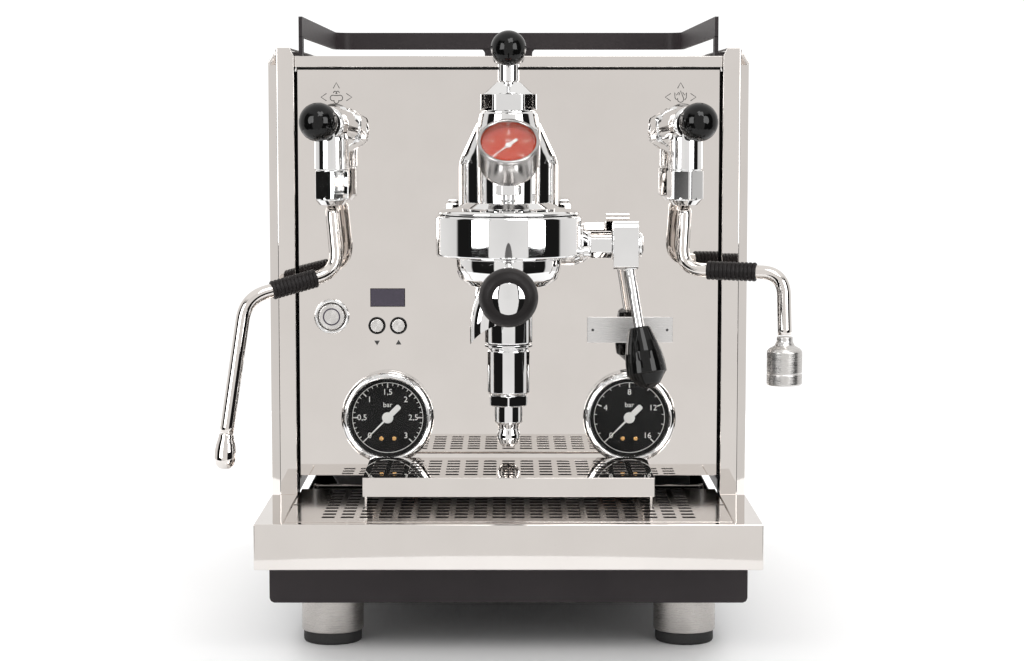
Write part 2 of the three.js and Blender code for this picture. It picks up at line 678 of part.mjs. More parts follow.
function makeWand(name, sign, route, grip) {
  const top = [sign * WAND_X, WAND_Y, 0];
  add(`${name}_wand_seat`, ring(5.9, 3.2, 312, 316, 16), 'seal', top);
  const local = route.map(([x, y, z]) => [x - top[0], y - WAND_Y, z]);
  const ball = new THREE.SphereGeometry(5.6, 10, 6).rotateX(Math.PI / 2).translate(0, 0, WAND_BALL_Z);
  const stub = cylinder(2.5, 294, 303, 8);
  const pipe = tube(bentPath(local, 15), 4.75, 18);
  add(`${name}_wand`, join(ball, stub, pipe), 'chrome', top);

  const from = new THREE.Vector3(...route[1]);
  const to = new THREE.Vector3(...route[2]);
  const ribs = [[5.1, 0]];
  const ribCount = 4;
  const pitch = grip.length / ribCount;
  for (let i = 0; i < ribCount; i += 1) {
    ribs.push([6.1, i * pitch], [6.5, (i + 0.5) * pitch]);
  }
  ribs.push([6.1, grip.length], [5.1, grip.length], [5.1, 0]);
  const place = from.clone().lerp(to, grip.start / from.distanceTo(to)).toArray();
  const direction = to.clone().sub(from).normalize().toArray();
  add(`${name}_wand_grip`, turned(ribs, 12), 'black_matte', place, aim(direction));
}

function makeSteamSide() {
  makeValve('steam', 'left', -1);
  const route = [
    [-WAND_X, WAND_Y, 296.2], [-117.5, -39, 253.6], [-178.8, -60, 237.3], [-191.7, -70, 146],
  ];
  makeWand('steam', -1, route, { start: 16, length: 32 });
  const tip = turned([
    [0, 0.5], [4.75, 0.5], [5.4, 3], [7.25, 12], [7.25, 18], [6, 22], [3.5, 24.2], [0, 24.8],
  ], 20);
  add('steam_tip', tip, 'chrome', route[3], aim([-0.06, -0.11, -1]));
}

function makeWaterSide() {
  makeValve('water', 'right', 1);
  const route = [
    [WAND_X, WAND_Y, 296.2], [119, -39, 255.5], [187.3, -57, 254], [188, -62, 212],
  ];
  makeWand('water', 1, route, { start: 18, length: 34 });
  const nozzle = turned([
    [0, 0], [11, 0], [12, 1], [12, 23], [10.5, 25], [6.6, 27], [5.4, 33], [0, 33],
  ]);
  const drop = 34;
  add('water_nozzle', nozzle, 'brushed_steel', [188, route[3][1], route[3][2] - drop]);
}

// ------------------------------------------------------------------- controls

function makeControls() {
  const front = [Math.PI / 2, 0, 0];
  const power = turned([[0, -12], [4, -12], [4, -3], [9.35, -3], [9.35, 3], [8.6, 3.7], [0, 3.7]], 20);
  add('power_button', power, 'brushed_steel', [-125.8, PANEL_FRONT, 218.3], front);
  const small = turned([[0, -10], [2, -10], [2, -3], [4.9, -3], [4.9, 1.2], [4.3, 1.7], [0, 1.7]], 16);
  add('button_down', small, 'brushed_steel', [-93.7, PANEL_FRONT, 211.8], front);
  add('button_up', small.clone(), 'brushed_steel', [-78.4, PANEL_FRONT, 211.8], front);
  const glass = box([-12, 12], [-0.4, 3], [-6.2, 6.2]);
  add('display_window', glass, 'display', [-86, PANEL_FRONT, 231.8]);
}

// ------------------------------------------------------------ inside the case

/** Copper pressure vessels, each a shell that is open at one pipe port. */
function makeBoilers() {
  const brew = turned([
    [4, 345], [22, 343], [34.5, 336], [36.5, 329], [36.5, 241], [34.5, 233.5], [23, 225.5], [0, 224],
    [0, 222], [24, 223.5], [36, 232], [38, 240], [38, 330], [36, 338], [24, 345], [4, 347], [4, 345],
  ], 20);
  add('brew_boiler', brew, 'copper', [0, 65, 0]);
  const steam = turned([
    [5, 122.5], [32, 120], [48, 111], [53, 99.5], [53, -99.5], [48, -111], [32, -120], [0, -123],
    [0, -125], [34, -122], [50, -112], [55, -100], [55, 100], [50, 112], [34, 122], [5, 124.5],
    [5, 122.5],
  ], 20);
  add('steam_boiler', steam, 'copper', [0, 166, 262], [0, Math.PI / 2, 0]);
}

function makePump() {
  const motor = turned([[0, 0], [33, 0], [34, 4], [34, 96], [33, 100], [22, 100], [22, 112], [0, 112]]);
  const head = turned([[0, 111], [19, 111], [19, 150], [14, 156], [0, 156]]);
  const foot = box([-28, 28], [-36, 0], [12, 88]);
  const upright = join(motor, head, foot);
  add('pump_unit', upright, 'grey_plastic', [-104, 120, 100], [-Math.PI / 2, 0, Math.PI]);
}

function makeControlBox() {
  const body = box([-42, 42], [-50, 50], [0, 62]);
  const flange = box([-48, 48], [-44, 44], [0, 2]);
  add('control_box', join(body, flange), 'grey_plastic', [98, 185, FOOT_TOP + 2.5 + GAP]);
}

/** The removable tank, open at the top under its lid. */
function makeWaterTank() {
  const outer = box([-74, 74], [240, 326], [150, 392]);
  const inner = box([-71.5, 71.5], [242.5, 323.5], [152.5, 393]);
  const foot = box([-74, 74], [240, 326], [FOOT_TOP + 2.5 + GAP, 151]);
  const under = box([-66, 66], [239, 327], [FOOT_TOP, 140]);
  const handle = box([-74, 74], [281, 285], [378, 388]);
  add('water_tank', join(cut(join(outer, foot), under, inner), handle), 'tank_plastic');
}

function makePowerInlet() {
  const plate = box([-27, 27], [0.3, 2], [-18, 18]);
  const body = box([-24, 24], [-24, 1], [-15.5, 15.5]);
  const recess = box([-12.5, 12.5], [-16, 3], [-8.5, 8.5]);
  const pins = [-7, 0, 7].map((x) => box([x - 1, x + 1], [-17, -3], [-2.5, 2.5]));
  add('power_inlet', join(cut(join(plate, body), recess), ...pins), 'black_matte',
    [112.5, INLET_BACK - 2, 87]);
}

// ------------------------------------------------------------------- assembly

makeBasePan();
makeFeet();
makeSidePanels();
makeFrontPanel();
makeRearPanel();
makeTopCover();
makeTankLid();
makeCupRail();
makeDripTray();
makeDripGrate();
makeCupStand();
makeGroupBody();
makeBell();
makeGroupTrim();
makeBrewGauge();
makeBrewNeedle();
makePanelGauges();
makeFlowControl();
makeBrewLever();
makePortafilter();
makeSteamSide();
makeWaterSide();
makeControls();
makeBoilers();
makePump();
makeControlBox();
makeWaterTank();
makePowerInlet();

const bounds = new THREE.Box3().setFromObject(machine, true);
machine.position.y = -(bounds.min.y + bounds.max.y) / 2;

const part = new THREE.Group();
part.add(machine);
part.updateMatrixWorld(true);

export default part;
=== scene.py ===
"""Lever-group espresso machine: the visual model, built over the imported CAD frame.

Profiles and small offsets are in millimetres. Places come from the frame's boxes and joints.
"""

import json
from math import acos, cos, pi, radians, sin

import bmesh
import bpy
from mathutils import Matrix, Vector


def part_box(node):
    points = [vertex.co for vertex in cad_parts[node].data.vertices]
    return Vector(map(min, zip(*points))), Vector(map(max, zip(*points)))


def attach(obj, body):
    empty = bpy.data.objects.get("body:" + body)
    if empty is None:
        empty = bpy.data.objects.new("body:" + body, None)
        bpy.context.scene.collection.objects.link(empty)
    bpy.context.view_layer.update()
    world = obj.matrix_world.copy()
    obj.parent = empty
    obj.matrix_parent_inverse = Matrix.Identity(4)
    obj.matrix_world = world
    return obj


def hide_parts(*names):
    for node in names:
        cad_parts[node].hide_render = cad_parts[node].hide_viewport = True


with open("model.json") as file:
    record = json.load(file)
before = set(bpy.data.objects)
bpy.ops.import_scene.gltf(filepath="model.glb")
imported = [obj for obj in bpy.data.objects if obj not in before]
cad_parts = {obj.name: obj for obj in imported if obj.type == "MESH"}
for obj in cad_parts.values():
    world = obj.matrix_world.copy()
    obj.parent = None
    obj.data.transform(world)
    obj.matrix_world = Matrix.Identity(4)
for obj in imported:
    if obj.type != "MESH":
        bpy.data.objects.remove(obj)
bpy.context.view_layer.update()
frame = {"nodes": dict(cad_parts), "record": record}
JOINTS = {joint["name"]: joint for joint in frame["record"]["behaviour"]["joints"]}

MM = 0.001
RIGHT = Vector((1, 0, 0))
BACK = Vector((0, 1, 0))
UP = Vector((0, 0, 1))
FRONT = -BACK
IN_MM = Matrix.Scale(MM, 4)
UPRIGHT = IN_MM @ Matrix.Rotation(pi / 2, 4, "X")


# ---- places

def low(node):
    return Vector(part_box(node)[0])


def high(node):
    return Vector(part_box(node)[1])


def middle(node):
    return (low(node) + high(node)) / 2


def foot_of_axis(node):
    """The point on the floor under a node's vertical axis."""
    centre = middle(node)
    return Vector((centre.x, centre.y, 0))


def pivot(joint):
    return Vector(JOINTS[joint]["pos_m"])


def axle(joint):
    return Vector(JOINTS[joint]["axis"]).normalized()


def turn_to(direction):
    """The rotation that takes +Z to a direction, and +Y upward where it can."""
    if abs(direction.normalized().z) > 0.999:
        return Matrix.Rotation(0 if direction.z > 0 else pi, 4, "X")
    return direction.to_track_quat("Z", "Y").to_matrix().to_4x4()


def set_at(point, direction=UP):
    """The matrix from a piece's own millimetres, along +Z, to its place in the frame."""
    return Matrix.Translation(point) @ turn_to(direction) @ IN_MM


def on_panel(x, z):
    """The matrix of a piece that stands out from the front panel."""
    return set_at(Vector((x, low("front_panel").y, z)), FRONT)


# ---- materials

MATERIALS = {}
NOISE_SPAN = (0.3, 0.7)


def new_material(name, color, roughness, metallic=0.0, **sockets):
    """A material on one Principled shader. Extra sockets are named with underscores."""
    material = bpy.data.materials.new(name)
    material.use_nodes = True
    shader = material.node_tree.nodes["Principled BSDF"]
    shader.inputs["Base Color"].default_value = (*color, 1)
    shader.inputs["Roughness"].default_value = roughness
    shader.inputs["Metallic"].default_value = metallic
    for socket, value in sockets.items():
        shader.inputs[socket.replace("_", " ")].default_value = value
    MATERIALS[name] = material
    return material


def noise(material, scale, stretch=(1, 1, 1), detail=4.0):
    """Noise in the piece's own space, in features per metre, finer along a stretched axis."""
    tree = material.node_tree
    place = tree.nodes.new("ShaderNodeTexCoord")
    mapping = tree.nodes.new("ShaderNodeMapping")
    mapping.inputs["Scale"].default_value = stretch
    texture = tree.nodes.new("ShaderNodeTexNoise")
    texture.inputs["Scale"].default_value = scale
    texture.inputs["Detail"].default_value = detail
    tree.links.new(place.outputs["Object"], mapping.inputs["Vector"])
    tree.links.new(mapping.outputs["Vector"], texture.inputs["Vector"])
    return texture.outputs["Fac"]


def mapped(tree, source, start, end, least=0.0, most=1.0):
    """A value carried from one range to another."""
    spread = tree.nodes.new("ShaderNodeMapRange")
    for socket, value in (("From Min", start), ("From Max", end), ("To Min", least), ("To Max", most)):
        spread.inputs[socket].default_value = value
    tree.links.new(source, spread.inputs["Value"])
    return spread.outputs["Result"]


def drive_roughness(material, source, least, most):
    tree = material.node_tree
    spread = mapped(tree, source, *NOISE_SPAN, least, most)
    tree.links.new(spread, tree.nodes["Principled BSDF"].inputs["Roughness"])


def drive_color(material, source, dark, light):
    tree = material.node_tree
    ramp = tree.nodes.new("ShaderNodeValToRGB")
    for element, position, color in zip(ramp.color_ramp.elements, NOISE_SPAN, (dark, light)):
        element.position = position
        element.color = (*color, 1)
    tree.links.new(source, ramp.inputs["Fac"])
    tree.links.new(ramp.outputs["Color"], tree.nodes["Principled BSDF"].inputs["Base Color"])


def drive_bump(material, source, height, strength=1.0):
    """Bump of a height in millimetres."""
    tree = material.node_tree
    bump = tree.nodes.new("ShaderNodeBump")
    bump.inputs["Distance"].default_value = height * MM
    bump.inputs["Strength"].default_value = strength
    tree.links.new(source, bump.inputs["Height"])
    tree.links.new(bump.outputs["Normal"], tree.nodes["Principled BSDF"].inputs["Normal"])


def textured(name, dark, light, rough, grain, bump=0.0, metallic=0.0, **sockets):
    """A material whose colour wanders slowly, and whose gloss and surface have a fine grain."""
    material = new_material(name, light, rough[0], metallic, **sockets)
    drive_color(material, noise(material, 25.0), dark, light)
    fine = noise(material, grain)
    drive_roughness(material, fine, *rough)
    if bump:
        drive_bump(material, fine, bump)
    return material


def brushed(name, light, rough, stretch, contrast=0.1):
    """Steel with fine lines that run across the stretched axis."""
    dark = tuple((1 - contrast) * c for c in light)
    material = new_material(name, light, rough[0], 1.0)
    lines = noise(material, 90.0, stretch, detail=6.0)
    drive_color(material, lines, dark, light)
    drive_roughness(material, lines, *rough)
    drive_bump(material, lines, 0.012, 0.6)
    return material


def faced(name, light, rough, axis):
    """Steel faced on a lathe, with its highlight fanned out round an axis."""
    material = brushed(name, light, rough, (1, 1, 1))
    tree = material.node_tree
    shader = tree.nodes["Principled BSDF"]
    shader.inputs["Anisotropic"].default_value = 0.75
    tangent = tree.nodes.new("ShaderNodeTangent")
    tangent.direction_type = "RADIAL"
    tangent.axis = axis
    tree.links.new(tangent.outputs["Tangent"], shader.inputs["Tangent"])
    return material


def make_materials():
    steel, shaded = (0.81, 0.772, 0.742), (0.78, 0.742, 0.712)
    textured("polished_steel", shaded, steel, (0.018, 0.04), 260.0, metallic=1.0)
    textured("satin_steel", shaded, steel, (0.1, 0.17), 900.0, metallic=1.0)
    brushed("brushed_steel", (0.70, 0.685, 0.67), (0.2, 0.36), (1, 1, 40))
    brushed("foot_steel", (0.5, 0.475, 0.455), (0.2, 0.34), (1, 1, 40))
    brushed("brushed_case", (0.5, 0.485, 0.475), (0.15, 0.24), (1, 1, 1))
    brushed("brushed_plate", (0.76, 0.75, 0.745), (0.24, 0.32), (0.5, 60, 60), 0.04)
    faced("faced_steel", (0.76, 0.745, 0.73), (0.2, 0.3), "Y")
    textured("chrome", (0.83, 0.83, 0.83), (0.9, 0.9, 0.9), (0.015, 0.04), 180.0, metallic=1.0)
    textured("black_metal", (0.028, 0.023, 0.025), (0.036, 0.030, 0.032), (0.36, 0.5), 1500.0, bump=0.03,
             Specular_IOR_Level=0.2)
    textured("black_gloss", (0.003, 0.003, 0.003), (0.005, 0.005, 0.005), (0.03, 0.06), 220.0,
             Specular_IOR_Level=0.3)
    textured("black_matte", (0.009, 0.007, 0.007), (0.015, 0.012, 0.012), (0.4, 0.55), 900.0, bump=0.04,
             Specular_IOR_Level=0.22)
    textured("gauge_white", (0.80, 0.80, 0.77), (0.88, 0.88, 0.86), (0.4, 0.55), 600.0)
    textured("dial_black", (0.008, 0.008, 0.008), (0.014, 0.014, 0.014), (0.5, 0.65), 1200.0, bump=0.01,
             Specular_IOR_Level=0.05)
    textured("dial_red", (0.5, 0.045, 0.015), (0.57, 0.056, 0.02), (0.4, 0.55), 1200.0, bump=0.01,
             Specular_IOR_Level=0.06)
    glass = textured("glass", (0.9, 0.93, 0.93), (0.97, 0.98, 0.98), (0.01, 0.03), 120.0, Alpha=0.12,
                     Transmission_Weight=1.0)
    glass.surface_render_method = "BLENDED"
    textured("rubber", (0.008, 0.008, 0.008), (0.016, 0.015, 0.015), (0.6, 0.78), 1100.0, bump=0.05)
    textured("copper", (0.50, 0.23, 0.13), (0.72, 0.38, 0.24), (0.22, 0.45), 300.0, bump=0.02, metallic=1.0)
    textured("tank_plastic", (0.50, 0.56, 0.58), (0.58, 0.64, 0.66), (0.1, 0.2), 300.0, Alpha=0.55)
    textured("pump_metal", (0.36, 0.36, 0.37), (0.46, 0.46, 0.47), (0.4, 0.6), 900.0, bump=0.12, metallic=0.8)
    textured("box_plastic", (0.09, 0.095, 0.10), (0.12, 0.125, 0.13), (0.45, 0.6), 1400.0, bump=0.05)
    textured("display_glass", (0.045, 0.034, 0.062), (0.06, 0.047, 0.08), (0.08, 0.14), 300.0, Coat_Weight=0.5)
    textured("seal", (0.68, 0.64, 0.56), (0.78, 0.75, 0.68), (0.35, 0.5), 700.0, bump=0.02)
    textured("marking", (0.03, 0.03, 0.03), (0.05, 0.05, 0.05), (0.5, 0.7), 900.0)
    textured("brass_trim", (0.62, 0.36, 0.13), (0.78, 0.48, 0.2), (0.2, 0.35), 500.0, metallic=1.0)


# ---- mesh helpers

def settle(piece, body, finish, *nodes):
    """Gives a piece its material and the body that it rides on, and hides the CAD nodes that it stands for."""
    piece.data.materials.clear()
    piece.data.materials.append(MATERIALS[finish])
    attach(piece, body)
    if nodes:
        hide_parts(*nodes)
    return piece


def add_object(name, mesh):
    piece = bpy.data.objects.new(name, mesh)
    bpy.context.scene.collection.objects.link(piece)
    return piece


def from_bmesh(name, bm):
    mesh = bpy.data.meshes.new(name)
    bm.to_mesh(mesh)
    bm.free()
    return add_object(name, mesh)


def soften(piece, bevel=0.0, segments=2, sharpest=25):
    """Smooth shading that keeps flats flat, and edges rounded by a bevel in millimetres."""
    for polygon in piece.data.polygons:
        polygon.use_smooth = True
    if bevel:
        modifier = piece.modifiers.new("bevel", "BEVEL")
        modifier.width = bevel * MM
        modifier.segments = segments
        modifier.limit_method = "ANGLE"
        modifier.angle_limit = radians(sharpest)
    modifier = piece.modifiers.new("normals", "WEIGHTED_NORMAL")
    modifier.keep_sharp = True
    return piece


def from_rings(name, rings, matrix, closed=False):
    """A skin over rings of points. A ring of one point is a pole."""
    bm = bmesh.new()
    loops = [[bm.verts.new(matrix @ Vector(point)) for point in ring] for ring in rings]
    pairs = list(zip(loops, loops[1:]))
    if closed:
        pairs.append((loops[-1], loops[0]))
    for lower, upper in pairs:
        count = max(len(lower), len(upper))
        for i in range(count):
            j = (i + 1) % count
            corners = [lower[i % len(lower)], lower[j % len(lower)], upper[j % len(upper)], upper[i % len(upper)]]
            distinct = list(dict.fromkeys(corners))
            if len(distinct) > 2:
                bm.faces.new(distinct)
    bmesh.ops.remove_doubles(bm, verts=bm.verts, dist=1e-7)
    bmesh.ops.recalc_face_normals(bm, faces=bm.faces)
    return from_bmesh(name, bm)


def rounded(points, radius, steps=3):
    """An open outline with each inner corner rounded, where its sides leave room."""
    points = [Vector(point) for point in points]
    result = [points[0]]
    for before, corner, after in zip(points, points[1:], points[2:]):
        back, ahead = before - corner, after - corner
        trim = min(radius, 0.45 * back.length, 0.45 * ahead.length)
        start = corner + back.normalized() * trim
        end = corner + ahead.normalized() * trim
        for i in range(steps + 1):
            t = i / steps
            result.append(start * (1 - t) ** 2 + corner * 2 * t * (1 - t) + end * t * t)
    result.append(points[-1])
    return result


def lathe(name, profile, matrix, radius=0.5, segments=64, limit=None):
    """A solid of revolution from (radius, height) points. A profile that ends off the axis is
    closed on itself. limit(angle) caps the radius, as the flats of a hexagon do."""
    is_ring = profile[0][0] > 0
    if is_ring:
        profile = [*profile, profile[0]]
    outline = rounded(profile, radius)
    if is_ring:
        outline.pop()
    rings = []
    for r, z in outline:
        if r < 1e-6:
            rings.append([(0, 0, z)])
            continue
        ring = []
        for i in range(segments):
            angle = 2 * pi * i / segments
            reach = min(r, limit(angle)) if limit else r
            ring.append((reach * cos(angle), reach * sin(angle), z))
        rings.append(ring)
    return soften(from_rings(name, rings, matrix, closed=is_ring))


def flats(across, turn=0.0):
    """The radius of a hexagon's side at an angle, for a lathe's limit."""
    def reach(angle):
        off = (angle - turn + pi / 6) % (pi / 3) - pi / 6
        return across / 2 / cos(off)
    return reach


def hexagon(name, across, z0, z1, matrix, turn=0.0, chamfer=1.2):
    """A hexagon bar with turned chamfers at both ends. Its corners are slightly turned down."""
    corner = across / 2 * 1.085 + 0.6
    inner = across / 2 * 0.97
    profile = [(0, z0), (inner, z0), (corner, z0 + chamfer), (corner, z1 - chamfer), (inner, z1), (0, z1)]
    return lathe(name, profile, matrix, radius=0.3, segments=120, limit=flats(across, turn))


def sphere_profile(radius, opening, steps=24):
    """Half an outline of a ball, from a flat of the opening's radius below to the top."""
    start = pi - acos(min(1.0, (radius ** 2 - opening ** 2) ** 0.5 / radius))
    points = [(0, radius * cos(start))]
    for i in range(steps + 1):
        angle = start * (1 - i / steps)
        points.append((radius * sin(angle) if i < steps else 0, radius * cos(angle)))
    return points


def bent(points, trim, steps=10):
    """A route with rounded corners, in the frame's metres."""
    return rounded(points, trim * MM, steps)


def resampled(points, step):
    """The same route with a point at least every step."""
    result = [points[0]]
    for a, b in zip(points, points[1:]):
        count = max(1, round((b - a).length / step))
        result.extend(a.lerp(b, i / count) for i in range(1, count + 1))
    return result


def sweep(name, route, radius, sides=32):
    """A round bar along a route."""
    rings = [[route[0]], *bar_rings(route, radius, sides), [route[-1]]]
    return soften(from_rings(name, rings, Matrix()))


def bar_rings(route, radius, sides):
    rings = []
    direction = (route[1] - route[0]).normalized()
    side = direction.orthogonal().normalized()
    for i, point in enumerate(route):
        ahead = route[min(i + 1, len(route) - 1)] - route[max(i - 1, 0)]
        ahead.normalize()
        side = direction.rotation_difference(ahead) @ side
        direction = ahead
        other = direction.cross(side)
        ring = []
        for k in range(sides):
            angle = 2 * pi * k / sides
            ring.append(point + (side * cos(angle) + other * sin(angle)) * radius * MM)
        rings.append(ring)
    return rings


def slab(name, outlines, z0, z1, matrix, bevel=0.3):
    """Flat outlines in X and Y given a thickness."""
    bm = bmesh.new()
    bases = [bm.faces.new([bm.verts.new((x, y, z0)) for x, y in outline]) for outline in outlines]
    raised = bmesh.ops.extrude_face_region(bm, geom=bases)
    lifted = [item for item in raised["geom"] if isinstance(item, bmesh.types.BMVert)]
    bmesh.ops.translate(bm, verts=lifted, vec=(0, 0, z1 - z0))
    bmesh.ops.recalc_face_normals(bm, faces=bm.faces)
    bm.transform(matrix)
    return soften(from_bmesh(name, bm), bevel)


def block(name, a, b, matrix=None, bevel=0.5):
    """A box between two corners, with bevelled edges."""
    outline = [(a[0], a[1]), (b[0], a[1]), (b[0], b[1]), (a[0], b[1])]
    return slab(name, [outline], a[2], b[2], matrix or IN_MM, bevel)


def arc(centre, radius, start, end, steps=12):
    """Points on an arc in a plane, from one angle to another, in degrees."""
    angles = [radians(start + (end - start) * i / steps) for i in range(steps + 1)]
    return [(centre[0] + radius * cos(a), centre[1] + radius * sin(a)) for a in angles]


def joined(name, *pieces):
    """Several closed shells as one piece."""
    bm = bmesh.new()
    for piece in pieces:
        bm.from_mesh(piece.data)
        bpy.data.objects.remove(piece)
    return soften(from_bmesh(name, bm))


def refined(name, node, bevel, segments=2):
    """A copy of a CAD node's sheet metal, with clean flats and rounded edges."""
    bm = bmesh.new()
    bm.from_mesh(frame["nodes"][node].data)
    bmesh.ops.remove_doubles(bm, verts=bm.verts, dist=1e-6)
    bmesh.ops.dissolve_limit(bm, angle_limit=radians(0.5), verts=bm.verts, edges=bm.edges)
    return soften(from_bmesh(name, bm), bevel, segments)


def letters(name, words, matrix, thickness=0.12):
    """Printed numbers and units. Each word is (text, x, y, height)."""
    pieces = []
    for text, x, y, height in words:
        curve = bpy.data.curves.new(name, "FONT")
        curve.body = text
        curve.size = height * 1.4
        curve.align_x = "CENTER"
        curve.align_y = "CENTER"
        curve.extrude = thickness / 2
        curve.resolution_u = 3
        shape = bpy.data.objects.new(name, curve)
        mesh = bpy.data.meshes.new_from_object(shape)
        mesh.transform(matrix @ Matrix.Translation((x, y, 0)))
        pieces.append(add_object(name, mesh))
        bpy.data.objects.remove(shape)
    return joined(name, *pieces)


# ---- casing

def make_casing():
    """The sheet metal. The sheets that move each ride on a body of their own name."""
    bevels = {
        "base_pan": 1.4, "side_panel_left": 0.55, "side_panel_right": 0.55, "front_panel": 0.3, "rear_panel": 0.3,
        "top_cover": 0.35, "tank_lid": 0.3, "drip_tray": 0.9, "drip_grate": 0.3, "cup_stand": 0.4,
    }
    finishes = {"base_pan": "black_metal", "drip_grate": "satin_steel"}
    moving = ("tank_lid", "drip_tray", "drip_grate", "cup_stand")
    for node, bevel in bevels.items():
        body = node if node in moving else "machine"
        sheet = settle(refined(f"{node}_sheet", node, bevel), body, finishes.get(node, "polished_steel"), node)
        if node in ("drip_grate", "cup_stand"):
            # Painted shade: the slot walls of the grate and cup stand are drawn black.
            paint_slot_shade(sheet)
    make_panel_shade_strips()
    make_tray_shade_box()


def paint_slot_shade(sheet):
    """The upright walls of a sheet's slots take the matte black as painted shade, so that thin sheet reads as deep
    slots in shadow.
    """
    sheet.data.materials.append(MATERIALS["black_matte"])
    points = [vertex.co for vertex in sheet.data.vertices]
    start = Vector(min(point[axis] for point in points) for axis in range(3))
    end = Vector(max(point[axis] for point in points) for axis in range(3))
    margin = 0.003
    for polygon in sheet.data.polygons:
        x, y, z = polygon.center
        inside = start.x + margin < x < end.x - margin and start.y + margin < y < end.y - margin
        if abs(polygon.normal.z) < 0.1 and inside and z > end.z - margin:
            polygon.material_index = 1


def make_tray_shade_box():
    """A dark open box inside the drip tray, painted shade in place of the tray's own shadowed steel inside."""
    start, end = low("drip_tray") / MM, high("drip_tray") / MM
    floor, top = start.z + 2.8, end.z - 3
    rings = []
    for wall, z in ((0, floor), (0, top), (0.8, top), (0.8, floor + 0.8)):
        x, front, back = 140.5 - wall, start.y + 12.5 + wall, end.y - 5.5 - wall
        rings.append([(-x, front, z), (x, front, z), (x, back, z), (-x, back, z)])
    centre = (start.y + end.y) / 2
    # Painted shade: a black box that darkens the tray's inside where it is seen through the grate.
    painted_tray_shade = from_rings("painted_tray_shade", [[(0, centre, floor)], *rings, [(0, centre, floor + 0.8)]], IN_MM)
    settle(soften(painted_tray_shade, 0.2), "drip_tray", "black_matte")


def make_panel_shade_strips():
    """Dark strips of painted shadow that close the gaps over and beside the front panel."""
    start, end = low("front_panel") / MM, high("front_panel") / MM
    # Painted shadow: these black strips stand behind the gaps, where there is only shade, and are not a seal.
    top = block("seal", (-149.5, end.y + 0.4, end.z - 5), (149.5, end.y + 4, end.z + 6.6))
    sides = [block("seal", (x - 2.2, end.y + 8.8, start.z), (x + 2.2, end.y + 11, end.z - 1))
             for x in (-149.6, 149.6)]
    settle(joined("painted_panel_shadow", top, *sides), "machine", "rubber")


def make_cup_rail():
    """A flat bar bent round three sides of the top, on two front legs and a rear tab."""
    start, end = low("cup_rail") / MM, high("cup_rail") / MM
    bar, corner = 2.5, 16.0
    x, front, back = end.x, start.y, end.y
    bottom = end.z - 14.2
    outline = [(-x, front), *arc((-x + corner, back - corner), corner, 180, 90),
               *arc((x - corner, back - corner), corner, 90, 0), (x, front), (x - bar, front),
               *arc((x - corner, back - corner), corner - bar, 0, 90),
               *arc((-x + corner, back - corner), corner - bar, 90, 180), (-x + bar, front)]
    bend = slab("cup_rail_bar", [outline], bottom, end.z, IN_MM, 0)
    legs = [block("cup_rail_leg", (left, front, start.z), (left + bar, front + 14, bottom + 0.5))
            for left in (-x, x - bar)]
    flare = [(-20, start.z), (-20, bottom - 3), *arc((-24, bottom - 3.5), 4, 0, 90, 6), (-24, bottom + 1),
             (24, bottom + 1), *arc((24, bottom - 3.5), 4, 90, 180, 6), (20, bottom - 3), (20, start.z)]
    tab = slab("cup_rail_tab", [flare], -back, -back + bar, UPRIGHT, 0)
    rail = joined("cup_rail_bent", bend, *legs, tab)
    settle(soften(rail, 0.5, 3), "machine", "black_metal", "cup_rail")


def make_feet():
    for node in ("foot_front_left", "foot_front_right", "foot_back_left", "foot_back_right"):
        place = set_at(foot_of_axis(node))
        drum = lathe(f"{node}_drum", [(0, 8), (21.3, 8), (21.3, 32.7), (6, 32.7), (4, 34), (4, 50), (0, 50)],
                     place, 0.9, 96)
        pad = lathe(f"{node}_pad", [(0, 0), (19.4, 0), (20, 1.2), (20, 8.1), (0, 8.1)], place, 0.8, 96)
        settle(drum, node, "foot_steel", node)
        settle(pad, node, "rubber")


# ---- brewing group

